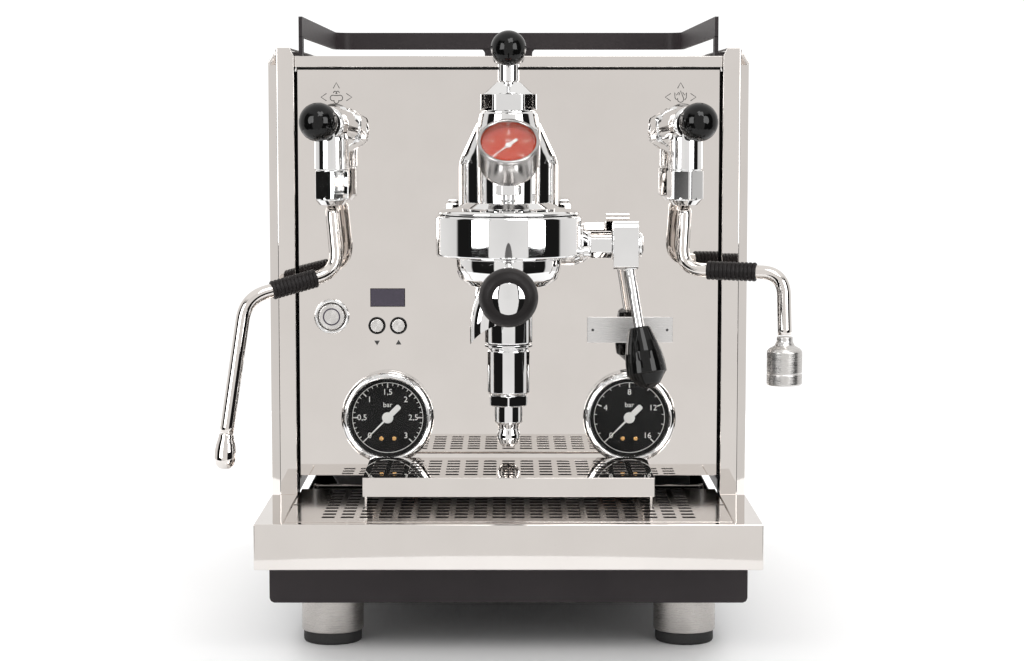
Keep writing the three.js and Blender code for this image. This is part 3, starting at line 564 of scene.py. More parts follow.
def make_group():
    """The chromed castings. Heights are above the floor."""
    column = foot_of_axis("group_top_nut")
    bell = foot_of_axis("shower_screen")
    on_column, on_bell = set_at(column), set_at(bell)
    cam = lathe("cam_column", [(0, 205.3), (16.5, 205.3), (16.5, 268.8), (20.6, 270.5), (21.6, 300), (22, 353),
                               (19.8, 363.3), (0, 363.3)], on_column, 1.6, 96)
    behind = set_at(column + BACK * 18 * MM) @ Matrix.Diagonal((1, 0.72, 1, 1))
    shell = lathe("rear_shell", [(0, 262), (29, 264), (33, 280), (34.5, 300), (34.5, 328), (32.6, 334),
                                 (20.6, 359), (0, 359)], behind, 1.8, 96)
    dome = lathe("bell_dome", [(0, 285), (40, 285), (40, 268.8), (45.4, 268.8), (45.4, 296), (46.8, 296.4),
                               (46.8, 297.6), (45, 299), (34, 300.4), (27, 304), (0, 305)], on_bell, 0.7, 128)
    neck_start = Vector((column.x, column.y, 0.3)) + BACK * 16 * MM
    neck = lathe("group_neck", [(0, 0), (22, 0), (22, 44), (27, 46), (27, 49), (22.6, 50), (22, 60), (0, 60)],
                 set_at(neck_start, BACK), 0.8, 96)
    joint = pivot("brew_lever_turn")
    root = Vector((column.x, joint.y, joint.z))
    gland = lathe("lever_gland", [(0, 0), (14.5, 0), (14.5, 45), (12.5, 48.5), (12.5, 50.5), (9.4, 54), (9.4, 56),
                                  (0, 56)], set_at(root, RIGHT), 0.35, 80)
    gland_nut = hexagon("gland_nut", 16, 55, 70.6, set_at(root, RIGHT), 0, 0.5)
    stud_at = Vector((bell.x + 0.043, bell.y - 0.006, 0.2715))
    stud = lathe("bell_stud", [(0, 0), (1.8, 0), (1.8, 6), (3.6, 6.4), (3.6, 10), (2.6, 11.2), (0, 11.4)],
                 set_at(stud_at, RIGHT), 0.4, 32)
    casting = joined("group_casting", cam, shell, dome, neck, gland, gland_nut, stud)
    settle(casting, "machine", "chrome", "group_body")
    collar = lathe("bell_collar", [(45.9, 268.8), (47.6, 268.8), (48.4, 270), (48.4, 294.4), (47.4, 295.7),
                                   (45.9, 295.7)], on_bell, 0.8, 128)
    settle(collar, "machine", "chrome", "group_bell")
    return on_column, on_bell


def make_group_fittings(on_column, on_bell):
    nut = hexagon("top_nut_hexagon", 34, 363.6, 376, on_column, pi / 6, 0.9)
    cone = lathe("top_nut_cone", [(0, 374), (16.4, 374), (16.4, 376), (8, 383.5), (0, 383.5)], on_column, 0.5, 96)
    washer = lathe("top_nut_washer", [(0, 362.8), (18.4, 362.8), (18.4, 364), (0, 364)], on_column, 0.3, 96)
    settle(joined("top_nut", nut, cone, washer), "machine", "chrome", "group_top_nut")
    screen = [(0, 278.2), (26, 278.2), (27.5, 279), (27.5, 281), (6, 281.6), (6, 284.7), (0, 284.7)]
    settle(lathe("shower_disc", screen, on_bell, 0.3, 96), "machine", "brushed_steel", "shower_screen")
    seal = [(33.6, 277.8), (39.4, 277.8), (39.4, 284.8), (33.6, 284.8)]
    settle(lathe("group_gasket", seal, on_bell, 0.5, 96), "machine", "rubber")
    tube = lathe("chamber_tube", [(0, 170), (13.4, 170.6), (14.75, 172), (14.75, 200.5), (13.8, 201), (13.8, 202.6),
                                  (16.5, 203.2), (16.5, 205), (0, 205)], on_column, 0.4, 96)
    nut = hexagon("chamber_nut", 25.5, 162.5, 170.4, on_column, 0, 0.8)
    neck = [(0, 134), (3.6, 134.2), (6.6, 136.4), (8.1, 140), (8.1, 143), (7, 145.6), (7, 146.6), (8.1, 150.6),
            (9.8, 151), (9.8, 163), (0, 163)]
    nozzle = lathe("chamber_nozzle", neck, on_column, 0.8, 64)
    settle(joined("lower_chamber_turned", tube, nut, nozzle), "machine", "chrome", "lower_chamber")


def make_flow_control(on_column):
    hub = lathe("flow_hub", [(0, 383.9), (7.3, 383.9), (7.3, 395.5), (9.5, 398.5), (9.5, 408.4), (8.6, 409.5),
                             (0, 409.5)], on_column, 0.6, 64)
    knob = middle("flow_control_knob")
    start = Vector((knob.x, pivot("flow_control_turn").y, 0.4032))
    along = (knob - start).normalized()
    stem = lathe("flow_stem", [(0, 6), (3.5, 6), (3.5, 33), (5.4, 33), (5.4, 35.4), (0, 35.4)],
                 set_at(start, along), 0.4, 48)
    settle(joined("flow_lever", hub, stem), "flow_control", "chrome", "flow_control_lever")
    ball = lathe("flow_ball", sphere_profile(11.7, 4.2), set_at(knob, along), 0.2, 96)
    settle(ball, "flow_control", "black_gloss", "flow_control_knob")


def make_brew_lever():
    """The hub block, its end cap and a tapered rod that carries the long knob."""
    at = pivot("brew_lever_turn")
    at.x = middle("group_top_nut").x + 0.0798
    lean = Vector((0.164, -0.2, -1)).normalized()
    sideways = set_at(at, RIGHT)
    side = [(-11, -14), *arc((-7, -12.5), 4, 200, 270, 4), *arc((7, -12.5), 4, 270, 340, 4),
            *arc((5, 10.5), 6, 0, 90, 8), *arc((-5, 10.5), 6, 90, 180, 8)]
    hub = slab("lever_hub", [side], -8.4, 8.6, sideways, 0)
    soften(hub, 0.8, 3)
    settle(hub, "brew_lever", "chrome", "brew_lever")
    cap = lathe("lever_cap", [(0, 8), (7.6, 8), (7.6, 9), (8.5, 9.3), (8.5, 11), (6.4, 12.1), (0, 12.2)], sideways,
                0.4, 64)
    shaft = lathe("lever_shaft", [(0, -20), (4, -20), (4, -9), (11, -9), (11, -7.6), (0, -7.6)], sideways, 0.4, 48)
    rod = lathe("lever_rod", [(0, 6), (4.2, 6), (4.2, 17), (3.7, 18), (3.5, 40), (3.6, 60), (0, 60)],
                set_at(at, lean), 0.7, 48)
    settle(joined("lever_turned", cap, shaft, rod), "brew_lever", "chrome")
    grip = lathe("lever_grip", [(0, 57.7), (7.2, 57.7), (7.8, 58.5), (10.7, 67.5), (12.5, 75), (13.4, 81),
                                (13.7, 86), (13.7, 89.5), (12.9, 90), (10.3, 93.5), (7.8, 97), (4, 99.3),
                                (0, 99.7)], set_at(at, lean), 0.5, 96)
    settle(grip, "brew_lever", "black_gloss", "brew_lever_knob")


# ---- portafilter

HANDLE_Z = 254.5


def make_portafilter(on_bell):
    bell = on_bell.translation.copy()
    bowl = lathe("bowl", [(0, 247), (15, 247), (27, 249), (32.4, 253.4), (34.6, 259), (35, 262), (35, 276),
                          (30.4, 276), (30.4, 256), (27, 253), (0, 253)], on_bell, 1.2, 128)
    rim = lathe("bowl_bead", [(34.4, 266.4), (35.8, 267), (35.8, 268.4), (34.4, 269)], on_bell, 0.3, 128)
    neck = lathe("bowl_neck", [(0, 29), (9.4, 29), (8.6, 34), (7.4, 42), (7.8, 50), (9.2, 53.5), (9.2, 60), (0, 60)],
                 set_at(bell + UP * HANDLE_Z * MM, FRONT), 1.0, 64)
    ears = [block("ear", (x, -8, 270.5), (x + 5.6, 8, 275.5), on_bell) for x in (-38.6, 33)]
    settle(joined("portafilter_bowl", bowl, rim, neck, *ears), "portafilter", "chrome", "portafilter")
    basket = [(0, 257), (24, 257), (29, 262), (29.6, 276.3), (33.4, 276.3), (33.4, 277.3), (28.6, 277.3),
              (28, 262.5), (23.5, 258), (0, 258)]
    settle(lathe("basket", basket, on_bell, 0.5, 128), "portafilter", "brushed_steel", "filter_basket")
    make_spout(bell)
    make_handle()


def make_spout(bell):
    """A bent pipe whose mouth is scooped out by a round cut, with its long side outermost."""
    corners = [bell + Vector((x, 0, z)) * MM for x, z in ((-5, 254), (-16, 230), (-16, 198))]
    route = resampled(bent(corners, 10), 1.2 * MM)
    scoop = bell + Vector((-0.9, 0, 195)) * MM
    walls = []
    for radius in (9.7, 8.3):
        rings = bar_rings(route, radius, 48)
        for i, ring in enumerate(rings):
            along = (route[min(i + 1, len(route) - 1)] - route[max(i - 1, 0)]).normalized()
            for k, point in enumerate(ring):
                off = Vector((point.x - scoop.x, 0, point.z - scoop.z))
                excess = (28.7 * MM) ** 2 - off.length_squared
                if excess > 0:
                    point = point - along * (off.dot(along) + (off.dot(along) ** 2 + excess) ** 0.5)
                ring[k] = point - along * max(0, point.z - 246.7 * MM) / along.z
        walls.append(rings)
    spout = from_rings("spout_pipe", [*walls[0], *reversed(walls[1])], Matrix(), closed=True)
    soften(spout, 0.3)
    settle(spout, "portafilter", "chrome", "portafilter_spout")


def make_handle():
    """The tapered grip with its ferrule, and a chromed dome on its end."""
    start = Vector((middle("portafilter_handle").x, high("portafilter_handle").y, HANDLE_Z * MM))
    along = Vector((0, -1, 0.005)).normalized()
    place = set_at(start, along)
    grip = lathe("handle_grip", [(0, 0.3), (8.6, 0.3), (9.4, 3), (10.4, 20), (12.8, 60), (15.8, 100), (17.5, 116),
                                 (17.2, 121), (15.4, 125.4), (12.2, 127.6), (10.4, 127.8), (0, 127.8)], place, 1.5, 96)
    settle(grip, "portafilter", "black_matte", "portafilter_handle")
    dome = [(22 * sin(a), 107.85 + 22 * cos(a)) for a in (0.495 * (1 - i / 12) for i in range(13))]
    cap = lathe("handle_cap", [(0, 126), (10.4, 126), *dome], place, 0.3, 96)
    ferrule = lathe("handle_ferrule", [(0, -0.8), (8.8, -0.8), (9.4, 0.4), (9.8, 2.6), (0, 2.6)], place, 0.4, 96)
    settle(joined("handle_trim", cap, ferrule), "portafilter", "chrome")


# ---- valves and wands

def make_valve(name, side):
    """One valve, its joystick and its ball. Distances along it are from the joystick's pivot."""
    at = pivot(f"{name}_knob_up")
    ball_at = middle(f"{name}_knob")
    along = (ball_at - at).normalized()
    place = set_at(at, along)
    root = at - along * 46 * MM
    flush = set_at(root, FRONT)
    rose = lathe("rose", [(0, 0.3), (13.4, 0.3), (13.4, 1.6), (12.2, 3.5), (0, 3.5)], flush, 0.5, 96)
    settle(rose, "machine", "chrome").name = f"{name}_valve_rose"
    nut = hexagon("nut", 28, -40.5, -25, place, 0, 1.4)
    tail = lathe("tail", [(0, -24), (10, -24), (10, 4), (0, 4)], flush, 0.4, 64)
    barrel = lathe("barrel", [(0, -42), (11.4, -42), (11.4, -25), (12.2, -24.4), (13.4, -22.5), (13.4, 2),
                              (12.4, 8.4), (11, 11), (8, 11), (8, -8), (0, -8)], place, 0.7, 96)
    foot = foot_of_axis(f"{name}_wand_seat")
    upright = set_at(foot)
    branch = lathe("branch", [(0, 323), (11, 323), (11.75, 324), (11.75, 345), (9.6, 352), (0, 354)],
                   upright, 1.4, 96)
    lower = hexagon("lower", 22.7, 303, 323.6, upright, 0.08 if side < 0 else 0.21, 0.9)
    skirt = lathe("skirt", [(6.3, 299.5), (8.5, 299.5), (11.4, 303), (11.4, 305), (6.3, 305)], upright, 0.4, 64)
    bore = lathe("bore", [(6.2, 299.6), (7, 299.6), (7, 318), (6.2, 318)], upright, 0.1, 64)
    body = joined(f"{name}_valve_body", nut, tail, barrel, branch, lower, skirt, bore)
    settle(body, "machine", "chrome", f"{name}_valve")
    rocker = lathe(f"{name}_rocker_ring", [(5.1, -2), (7.3, -2), (7.3, 2), (5.1, 2)], place, 0.4, 64)
    settle(rocker, f"{name}_rocker", "seal", f"{name}_rocker")
    stick = [(0, -6), (3.2, -6), (3.2, -3.4), (4.6, 0), (3.2, 3.4), (3.2, 12), (4.6, 13), (4.6, 16), (3.4, 17),
             (3.4, 19.7), (0, 19.7)]
    settle(lathe(f"{name}_stick", stick, place, 0.7, 48), f"{name}_joystick", "chrome", f"{name}_joystick")
    ball = lathe(f"{name}_ball", sphere_profile(13.2, 4), set_at(ball_at, along), 0.2, 96)
    settle(ball, f"{name}_joystick", "black_gloss", f"{name}_knob")
    seat = lathe(f"{name}_seat", [(3.2, 312), (5.9, 312), (5.9, 316), (3.2, 316)], upright, 0.4, 48)
    settle(seat, f"{name}_swivel", "seal", f"{name}_wand_seat")


def make_wand(name, corners, grip_start, grip_length):
    """A bent tube under its ball, with a ribbed sleeve on its middle run."""
    foot = foot_of_axis(f"{name}_wand_seat")
    corners = [foot + Vector(corner) * MM for corner in corners]
    route = resampled(bent(corners, 15, 14), 4 * MM)
    tube = sweep("tube", route, 4.75)
    ball = lathe("ball", [(0, 295), (4.6, 296), (3, 299), (2.5, 301), *[
        (5.6 * sin(a), 306 - 5.6 * cos(a)) for a in (0.5, 0.9, 1.3, 1.7, 2.1, 2.5, 2.8)], (0, 311.6)],
        set_at(foot), 0.4, 48)
    settle(joined(f"{name}_pipe", tube, ball), f"{name}_wand", "polished_steel", f"{name}_wand")
    run = (corners[2] - corners[1]).normalized()
    ribs = 12
    profile = [(4.9, 0), (5.9, 0)]
    for i in range(ribs):
        z = grip_length * (i + 0.5) / ribs
        half = grip_length / ribs / 2
        profile += [(5.95, z - half * 0.95), (6.5, z - half * 0.5), (6.5, z + half * 0.5), (5.95, z + half * 0.95)]
    profile += [(5.9, grip_length), (4.9, grip_length)]
    sleeve = lathe(f"{name}_sleeve", profile, set_at(corners[1] + run * grip_start * MM, run), 0.3, 64)
    settle(sleeve, f"{name}_wand", "black_matte", f"{name}_wand_grip")
    return corners[-1]


def make_wands():
    end = make_wand("steam", [(0, 0, 296.2), (4, -4, 253.6), (-57.3, -25, 237.3), (-70.2, -35, 146)], 16, 32)
    tip = [(0, 0.3), (4.9, 0.3), (5.2, 3), (6.4, 7), (7.25, 12), (7.25, 18), (6.2, 21.6), (4, 24.2), (0, 24.8)]
    settle(lathe("steam_wand_tip", tip, set_at(end, Vector((-0.06, -0.11, -1))), 1.2, 64),
           "steam_wand", "polished_steel", "steam_tip")
    end = make_wand("water", [(0, 0, 296.2), (-2.5, -4, 255.5), (65.8, -22, 254), (66.5, -27, 212)], 18, 34)
    nozzle = [(0, 2.2), (9.4, 2.2), (9.8, 0), (11.4, 0), (12, 0.9), (12, 7.4), (11.5, 8), (12, 8.6), (12, 23),
              (10.4, 25), (6.8, 27), (5.4, 30), (5.4, 33), (0, 33)]
    place = set_at(end - UP * 34 * MM)
    settle(lathe("water_outlet", nozzle, place, 0.5, 96), "water_wand", "brushed_steel", "water_nozzle")


# ---- gauges

def swung(value, radius):
    """The place of a scale value from 0 to 1 on a dial that sweeps 270 degrees clockwise."""
    angle = radians(225 - 270 * value)
    return radius * cos(angle), radius * sin(angle)


def tick(value, inner, outer, width):
    x, y = swung(value, 1)
    sideways = (-y * width / 2, x * width / 2)
    return [(x * r + s * sideways[0], y * r + s * sideways[1])
            for r, s in ((inner, -1), (outer, -1), (outer, 1), (inner, 1))]


def make_dial(name, place, radius, level, finish, labels, minor, unit, line=None):
    """A dial plate with its printed scale. level is the plate's height below the face."""
    plate = lathe(f"{name}_dial", [(0, level), (radius, level), (radius, level + 0.25), (0, level + 0.25)],
                  place, 0.05, 96)
    settle(plate, "machine", finish)
    top = level + 0.25
    edge = radius * 0.9
    major = len(labels) - 1
    bars = [tick(i / major, edge * 0.86, edge, radius * 0.028) for i in range(major + 1)]
    bars += [tick(i / minor, edge * 0.93, edge, radius * 0.016) for i in range(minor + 1)]
    marks = [slab("ticks", bars, top, top + 0.1, place, 0)]
    if line:
        marks.append(lathe("line", [(edge, top), (edge + line, top), (edge + line, top + 0.1), (edge, top + 0.1)],
                           place, 0.02, 128))
    words = []
    for i, label in enumerate(labels):
        x, y = swung(i / major, radius * 0.66)
        words.append((label, x, y, radius * 0.15))
    words.append((unit, 0, radius * 0.33, radius * 0.13))
    raised = place @ Matrix.Translation((0, 0, top + 0.06))
    marks.append(letters("numbers", words, raised))
    settle(joined(f"{name}_scale", *marks), "machine", "gauge_white")


def make_needle(name, place, length, tail, level, hub_radius):
    """A needle that rests at the low end of the scale, thin towards its point."""
    turn = Matrix.Rotation(radians(225), 4, "Z")
    half = hub_radius * 0.5
    upper = [(length, 0.18), (-1, 0.2 * hub_radius), (-tail * 0.35, half), (-tail * 0.92, half), (-tail, 0.6 * half)]
    pointer = upper + [(x, -y) for x, y in reversed(upper)]
    blade = slab("blade", [pointer], level, level + 0.5, place @ turn, 0.08)
    hub = lathe("hub", [(0, level), (hub_radius, level), (hub_radius, level + 0.9), (hub_radius - 1, level + 1.2),
                        (0, level + 1.2)], place, 0.3, 48)
    settle(joined(f"{name}_pointer", blade, hub), f"{name}_needle", "gauge_white", f"{name}_needle")


def make_panel_gauge(name, labels, minor):
    face = middle(f"{name}_gauge_case")
    face.y = low(f"{name}_gauge_case").y
    place = set_at(face, FRONT)
    case = [(0, -60), (5, -60), (5, -45), (29.5, -45), (29.5, -11.7), (33, -11.7), (33, -3.4), (31.6, -0.9),
            (29.4, 0), (28.2, -0.8), (27.7, -2.4), (27.7, -5), (0, -5)]
    settle(lathe(f"{name}_bezel", case, place, 0.9, 128), "machine", "chrome", f"{name}_gauge_case")
    make_dial(f"{name}_gauge", place, 27.65, -4.95, "dial_black", labels, minor, "bar", 0.35)
    make_needle(f"{name}_gauge", place, 22, 12, -4.3, 4)
    screws = []
    for x in (-4.6, 4.6):
        spot = place @ Matrix.Translation((x, -15, 0))
        screws.append(lathe("screw", [(0, -4.7), (1.5, -4.7), (1.5, -4.3), (1.1, -4.1), (0, -4.1)], spot, 0.1, 24))
    settle(joined(f"{name}_screws", *screws), "machine", "brass_trim")
    lens = [(0, -2.7), (27.6, -2.7), (27.6, -2.1), (18, -1.3), (0, -0.9)]
    settle(lathe(f"{name}_lens", lens, place, 0.3, 96), "machine", "glass")


def make_brew_gauge():
    inward = axle("brew_gauge_swing")
    face = pivot("brew_gauge_swing") - inward * 3.3 * MM
    place = set_at(face, -inward)
    case = [(0, -25), (15.4, -25), (18.6, -23.8), (20, -20), (20.3, -3), (20.5, -2.2), (20.5, -0.6), (19.9, 0),
            (18.5, 0), (17.9, -0.9), (17.7, -6), (0, -6)]
    settle(lathe("brew_gauge_cup", case, place, 0.7, 96), "machine", "brushed_case", "brew_gauge_case")
    stem_at = set_at(foot_of_axis("shower_screen") + BACK * 2 * MM)
    stem = lathe("stem", [(0, 302), (7, 302), (7, 304.4), (4.6, 305.4), (4.6, 309), (6.2, 310), (6.2, 312),
                          (4.6, 313), (4.4, 317), (7.6, 324), (7.6, 330), (0, 330)], stem_at, 0.4, 48)
    nut = hexagon("stem_nut", 15, 308.4, 315.6, stem_at, pi / 6, 0.6)
    settle(joined("brew_gauge_stem", stem, nut), "machine", "chrome")
    make_dial("brew_gauge", place, 17.6, -5.9, "dial_red", ["0", "4", "8", "12", "16"], 16, "bar")
    make_needle("brew_gauge", place, 15.5, 8, -4.9, 2.2)
    lens = [(0, -1.9), (17.5, -1.9), (17.5, -1.5), (10, -1.1), (0, -0.95)]
    settle(lathe("brew_gauge_lens", lens, place, 0.2, 96), "machine", "glass")


# ---- controls

def make_controls():
    power = middle("power_button")
    at = on_panel(power.x, power.z)
    bezel = [(9.7, -2), (9.7, 1.4), (10.6, 2.3), (12, 2.3), (12.5, 1.4), (12.5, 0)]
    settle(lathe("power_bezel", bezel, at, 0.5, 96), "machine", "chrome")
    cap = [(0, -12), (4, -12), (4, -3), (9.3, -3), (9.3, 3), (8.7, 3.7), (0, 3.7)]
    settle(lathe("power_cap", cap, at, 0.35, 96), "power_button", "faced_steel", "power_button")
    light = [(5.2, 3.6), (6.2, 3.6), (6.2, 3.75), (5.2, 3.75)]
    settle(lathe("power_light_ring", light, at, 0.03, 96), "power_button", "display_glass")
    for node in ("button_down", "button_up"):
        place = middle(node)
        at = on_panel(place.x, place.z)
        ring = [(5, -1), (5, 0.9), (5.5, 1.3), (6, 1.2), (6.2, 0.6), (6.2, -0.2)]
        settle(lathe(f"{node}_ring", ring, at, 0.2, 64), "machine", "black_gloss")
        cap = [(0, -10), (2, -10), (2, -3), (4.8, -3), (4.8, 1.2), (4.3, 1.7), (0, 1.7)]
        settle(lathe(f"{node}_cap", cap, at, 0.3, 64), node, "faced_steel", node)
    window = middle("display_window")
    pane = block("display_pane", (-12, -6.2, -3), (12, 6.2, 0.4), on_panel(window.x, window.z), 0.25)
    settle(pane, "machine", "display_glass", "display_window")


def stroke(points, matrix, radius=0.28):
    """A printed line, standing just proud of the panel."""
    route = [matrix @ Vector((x, y, 0)) for x, y in points]
    return sweep("stroke", route, radius, 8)


def make_symbols():
    """Arrows round a small steam puff and a flame above the valves, and the two button marks."""
    panel = low("front_panel").y
    lines = []
    for name in ("steam", "water"):
        place = on_panel(middle(f"{name}_wand_seat").x, 0.3737)
        lines.append(stroke([(-2.2, 6.2), (0, 10.2), (2.2, 6.2)], place))
        for side in (-1, 1):
            lines.append(stroke([(side * 7, 2.6), (side * 10.9, 0), (side * 7, -2.6)], place))
        if name == "steam":
            lobes = [*arc((-2.4, -0.6), 2, 290, 60, 10), *arc((2.4, -0.6), 2, 120, -110, 10)]
            lines.append(stroke(lobes, place))
            lines.append(stroke(arc((0, -2.7), 1.7, 160, 380, 10), place))
            for side in (-1, 1):
                lines.append(stroke(arc((side, 3.2), 1, 90 - side * 110, 90 + side * 160, 8), place))
        else:
            lines.append(stroke([*arc((0, -1.4), 2.2, -200, 20, 10), (1.2, 1.4), (0, 4.6), (-1.2, 1.4)], place))
            for side in (-1, 1):
                tongue = [(side * 1.4, 3.4), (side * 2.8, 1.4), (side * 4.2, 3.2), (side * 4, -0.4), (side * 2.9, -2)]
                lines.append(stroke(tongue, place))
    settle(joined("valve_symbols", *lines), "machine", "marking")
    shapes = []
    for node, tip in (("button_down", -1), ("button_up", 1)):
        at = middle(node).x / MM
        shapes.append([(at - 2, 199.6 - tip * 1.4), (at + 2, 199.6 - tip * 1.4), (at, 199.6 + tip * 2)])
    arrows = slab("button_marks", shapes, -panel / MM, -panel / MM + 0.12, UPRIGHT, 0)
    settle(arrows, "machine", "marking")


def make_name_plate():
    """A blank plate on two rivets."""
    place = on_panel(0.0865, 0.2087)
    plate = block("plate", (-30.5, -9.2, 0), (30.5, 9.2, 0.9), place, 0.3)
    settle(plate, "machine", "brushed_plate").name = "name_plate"
    rivets = []
    for x in (-26.5, 26.5):
        spot = place @ Matrix.Translation((x, 0, 0.8))
        rivets.append(lathe("rivet", [(0, 0), (1, 0), (0.9, 0.4), (0, 0.6)], spot, 0.1, 24))
    settle(joined("name_plate_rivets", *rivets), "machine", "marking")


# ---- inside the case

def make_boiler(name, place, shell, seams, thickness):
    """A lathed vessel with a welded bead near each end."""
    pieces = [lathe("vessel", shell, place, 2, 96)]
    for r, z in seams:
        bead = [(r, z), (r + 1.4, z + 1), (r + 1.4, z + thickness), (r, z + thickness + 1)]
        pieces.append(lathe("seam", bead, place, 0.5, 96))
    settle(joined(f"{name}_vessel", *pieces), "machine", "copper", name)


def make_boilers():
    shell = [(0, 222), (24, 223.5), (36, 232), (38, 240), (38, 330), (36, 338), (24, 345), (4, 347), (4, 343),
             (22, 341), (34, 329), (34, 241), (23, 227.5), (0, 226)]
    make_boiler("brew_boiler", set_at(foot_of_axis("brew_boiler")), shell, ((37.8, 236), (37.8, 330)), 2.4)
    shell = [(0, -125), (34, -122), (50, -112), (55, -100), (55, 100), (50, 112), (34, 122), (5, 124.5),
             (5, 120), (32, 118), (51, 99.5), (51, -99.5), (32, -118), (0, -121)]
    place = set_at(middle("steam_boiler"), RIGHT)
    make_boiler("steam_boiler", place, shell, ((54.8, -101), (54.8, 97.4)), 2.6)


def make_internals():
    housings = (
        ("pump_casting", "pump_unit", "machine", "pump_metal", 1.2, 2),
        ("control_housing", "control_box", "machine", "box_plastic", 1.6, 3),
        ("water_tank_shell", "water_tank", "water_tank", "tank_plastic", 0.9, 2),
        ("inlet_socket", "power_inlet", "machine", "black_matte", 0.5, 2),
    )
    for name, node, body, finish, bevel, segments in housings:
        settle(refined(name, node, bevel, segments), body, finish, node)


# ---- camera and studio

CAMERA_AT = (0, -1.6477, 0.3625)
CAMERA_TILT = 84.6
CAMERA_LENS = 80.86
FLOOR_RADIUS = 0.85
FLOOR_SET_BACK = 0.35
DIFFUSE_LEVEL = 0.78
BACKDROP_LEVEL = 1.1


def make_camera():
    data = bpy.data.cameras.new("camera")
    data.sensor_width = 36
    data.lens = CAMERA_LENS
    data.shift_x = 0.0034
    camera = bpy.data.objects.new("camera", data)
    camera.location = CAMERA_AT
    camera.rotation_euler = (radians(CAMERA_TILT), 0, 0)
    bpy.context.scene.collection.objects.link(camera)
    bpy.context.scene.camera = camera


def add_softbox(name, location, target, size, power, glossy):
    """A rectangular light that either fills the room or shows in the gloss of things."""
    data = bpy.data.lights.new(name, "AREA")
    data.shape = "RECTANGLE"
    data.size, data.size_y = size
    data.energy = power
    light = bpy.data.objects.new(name, data)
    light.location = location
    light.rotation_euler = (Vector(target) - Vector(location)).to_track_quat("-Z", "Y").to_euler()
    light.visible_glossy = glossy
    light.visible_diffuse = not glossy
    bpy.context.scene.collection.objects.link(light)


def make_floor():
    """A round table top, pale enough to vanish into the room."""
    angles = [2 * pi * i / 96 for i in range(96)]
    rim = [(FLOOR_RADIUS * cos(a), FLOOR_SET_BACK + FLOOR_RADIUS * sin(a), 0) for a in angles]
    mesh = bpy.data.meshes.new("floor")
    mesh.from_pydata(rim, [], [range(96)])
    floor = add_object("floor", mesh)
    material = new_material("studio_floor", (0.9, 0.9, 0.9), 0.55, Specular_IOR_Level=0.0)
    drive_roughness(material, noise(material, 3.0), 0.5, 0.65)
    mesh.materials.append(material)


def ramp_node(tree, stops):
    """A colour ramp of greys, from (position, brightness) pairs."""
    ramp = tree.nodes.new("ShaderNodeValToRGB")
    elements = ramp.color_ramp.elements
    while len(elements) < len(stops):
        elements.new(0.5)
    for element, (position, grey) in zip(elements, stops):
        element.position = position
        element.color = (grey, grey * 0.985, grey * 0.97, 1)
    return ramp


def feed(tree, socket, value):
    """Gives a socket a plain value, or the output of another node."""
    if isinstance(value, bpy.types.NodeSocket):
        tree.links.new(value, socket)
    else:
        socket.default_value = value


def calculated(tree, operation, *values):
    """One step of arithmetic on sockets and numbers."""
    node = tree.nodes.new("ShaderNodeMath")
    node.operation = operation
    for socket, value in zip(node.inputs, values):
        feed(tree, socket, value)
    return node.outputs[0]


def mixed(tree, share, first, second):
    """A blend of two colours, each a socket or a fixed colour."""
    mix = tree.nodes.new("ShaderNodeMix")
    mix.data_type = "RGBA"
    for index, value in ((0, share), (6, first), (7, second)):
        feed(tree, mix.inputs[index], value)
    return mix.outputs[2]


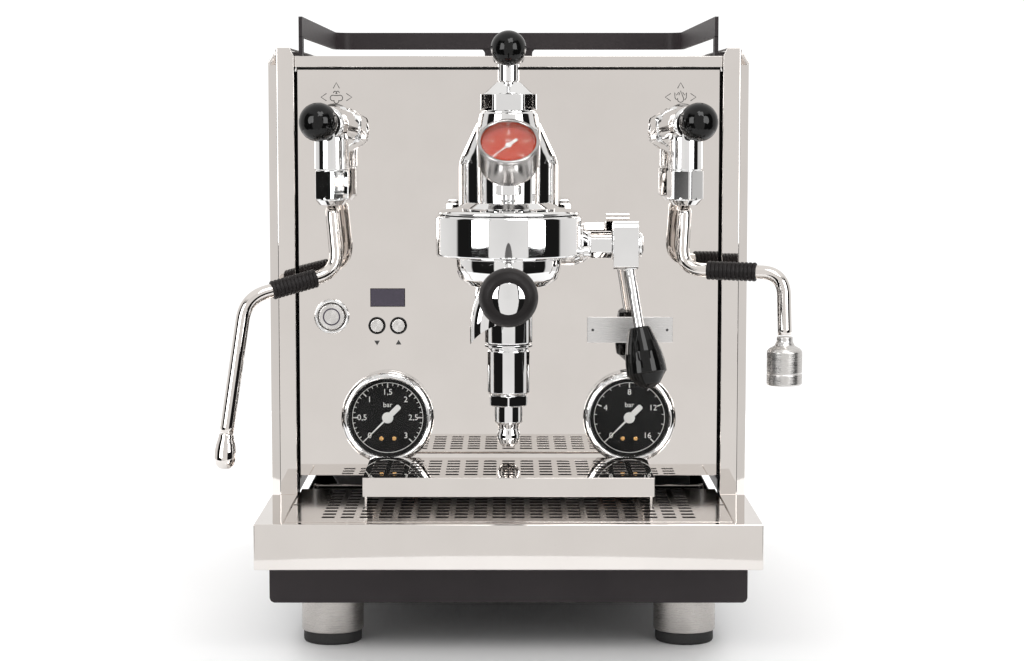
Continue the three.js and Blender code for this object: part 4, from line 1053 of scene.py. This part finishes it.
def make_studio():
    """A pale room with a softbox before a dark screen at each side, which the chrome reflects."""
    world = bpy.data.worlds.new("studio")
    bpy.context.scene.world = world
    world.use_nodes = True
    tree = world.node_tree
    tree.nodes.clear()
    place = tree.nodes.new("ShaderNodeTexCoord")
    split = tree.nodes.new("ShaderNodeSeparateXYZ")
    tree.links.new(place.outputs["Generated"], split.inputs[0])
    forward = calculated(tree, "MULTIPLY", split.outputs["Y"], -1.0)
    angle = calculated(tree, "ARCTAN2", split.outputs["X"], forward)
    share = calculated(tree, "DIVIDE", calculated(tree, "ABSOLUTE", angle), pi)
    upper = ramp_node(tree, [(0.0, 0.8), (0.168, 0.86), (0.173, 0.01), (0.475, 0.01), (0.5, 0.75), (0.8, 0.9)])
    lower = ramp_node(tree, [(0.0, 0.84), (0.172, 0.86), (0.18, 0.01), (0.475, 0.01), (0.5, 0.75), (0.8, 0.85)])
    for ramp in (upper, lower):
        tree.links.new(share, ramp.inputs["Fac"])
    level = mapped(tree, split.outputs["Z"], -0.15, 0.0)
    sides = mixed(tree, level, lower.outputs["Color"], upper.outputs["Color"])
    roof = mapped(tree, split.outputs["Z"], 0.6, 0.75)
    room = mixed(tree, roof, sides, (0.92, 0.91, 0.895, 1))
    ray = tree.nodes.new("ShaderNodeLightPath")
    fill = mixed(tree, ray.outputs["Is Diffuse Ray"], room, (*[DIFFUSE_LEVEL] * 3, 1))
    shown = mixed(tree, ray.outputs["Is Camera Ray"], fill, (*[BACKDROP_LEVEL] * 3, 1))
    light = tree.nodes.new("ShaderNodeBackground")
    tree.links.new(shown, light.inputs["Color"])
    output = tree.nodes.new("ShaderNodeOutputWorld")
    tree.links.new(light.outputs[0], output.inputs["Surface"])
    for side, name in ((-1, "left"), (1, "right")):
        add_softbox(f"{name}_softbox", (side * 1.047, -1.189, 0.705), target=(0, -0.178, 0.705),
                    size=(0.726, 1.03), power=12, glossy=True)
        add_softbox(f"{name}_fill", (side * 0.9, -1.3, 1.6), target=(0, 0, 0.1),
                    size=(0.8, 0.8), power=5, glossy=False)
        add_softbox(f"{name}_back", (side * 0.9, 0.6, 1.1), target=(side * 0.6, 0.4, 0),
                    size=(0.9, 0.9), power=10, glossy=False)
    add_softbox("top_softbox", (0.3, -1.05, 1.6), target=(0, -0.1, 0.35), size=(0.75, 0.75), power=8, glossy=True)


# ---- main

def main():
    bpy.context.scene.view_settings.view_transform = "Standard"
    make_camera()
    make_materials()
    make_casing()
    make_cup_rail()
    make_feet()
    on_column, on_bell = make_group()
    make_group_fittings(on_column, on_bell)
    make_flow_control(on_column)
    make_brew_lever()
    make_portafilter(on_bell)
    for name, side in (("steam", -1), ("water", 1)):
        make_valve(name, side)
    make_wands()
    make_panel_gauge("boiler", ["0", "0,5", "1", "1,5", "2", "2,5", "3"], 30)
    make_panel_gauge("pump", ["0", "4", "8", "12", "16"], 16)
    make_brew_gauge()
    make_controls()
    make_symbols()
    make_name_plate()
    make_boilers()
    make_internals()
    make_floor()
    make_studio()


main()
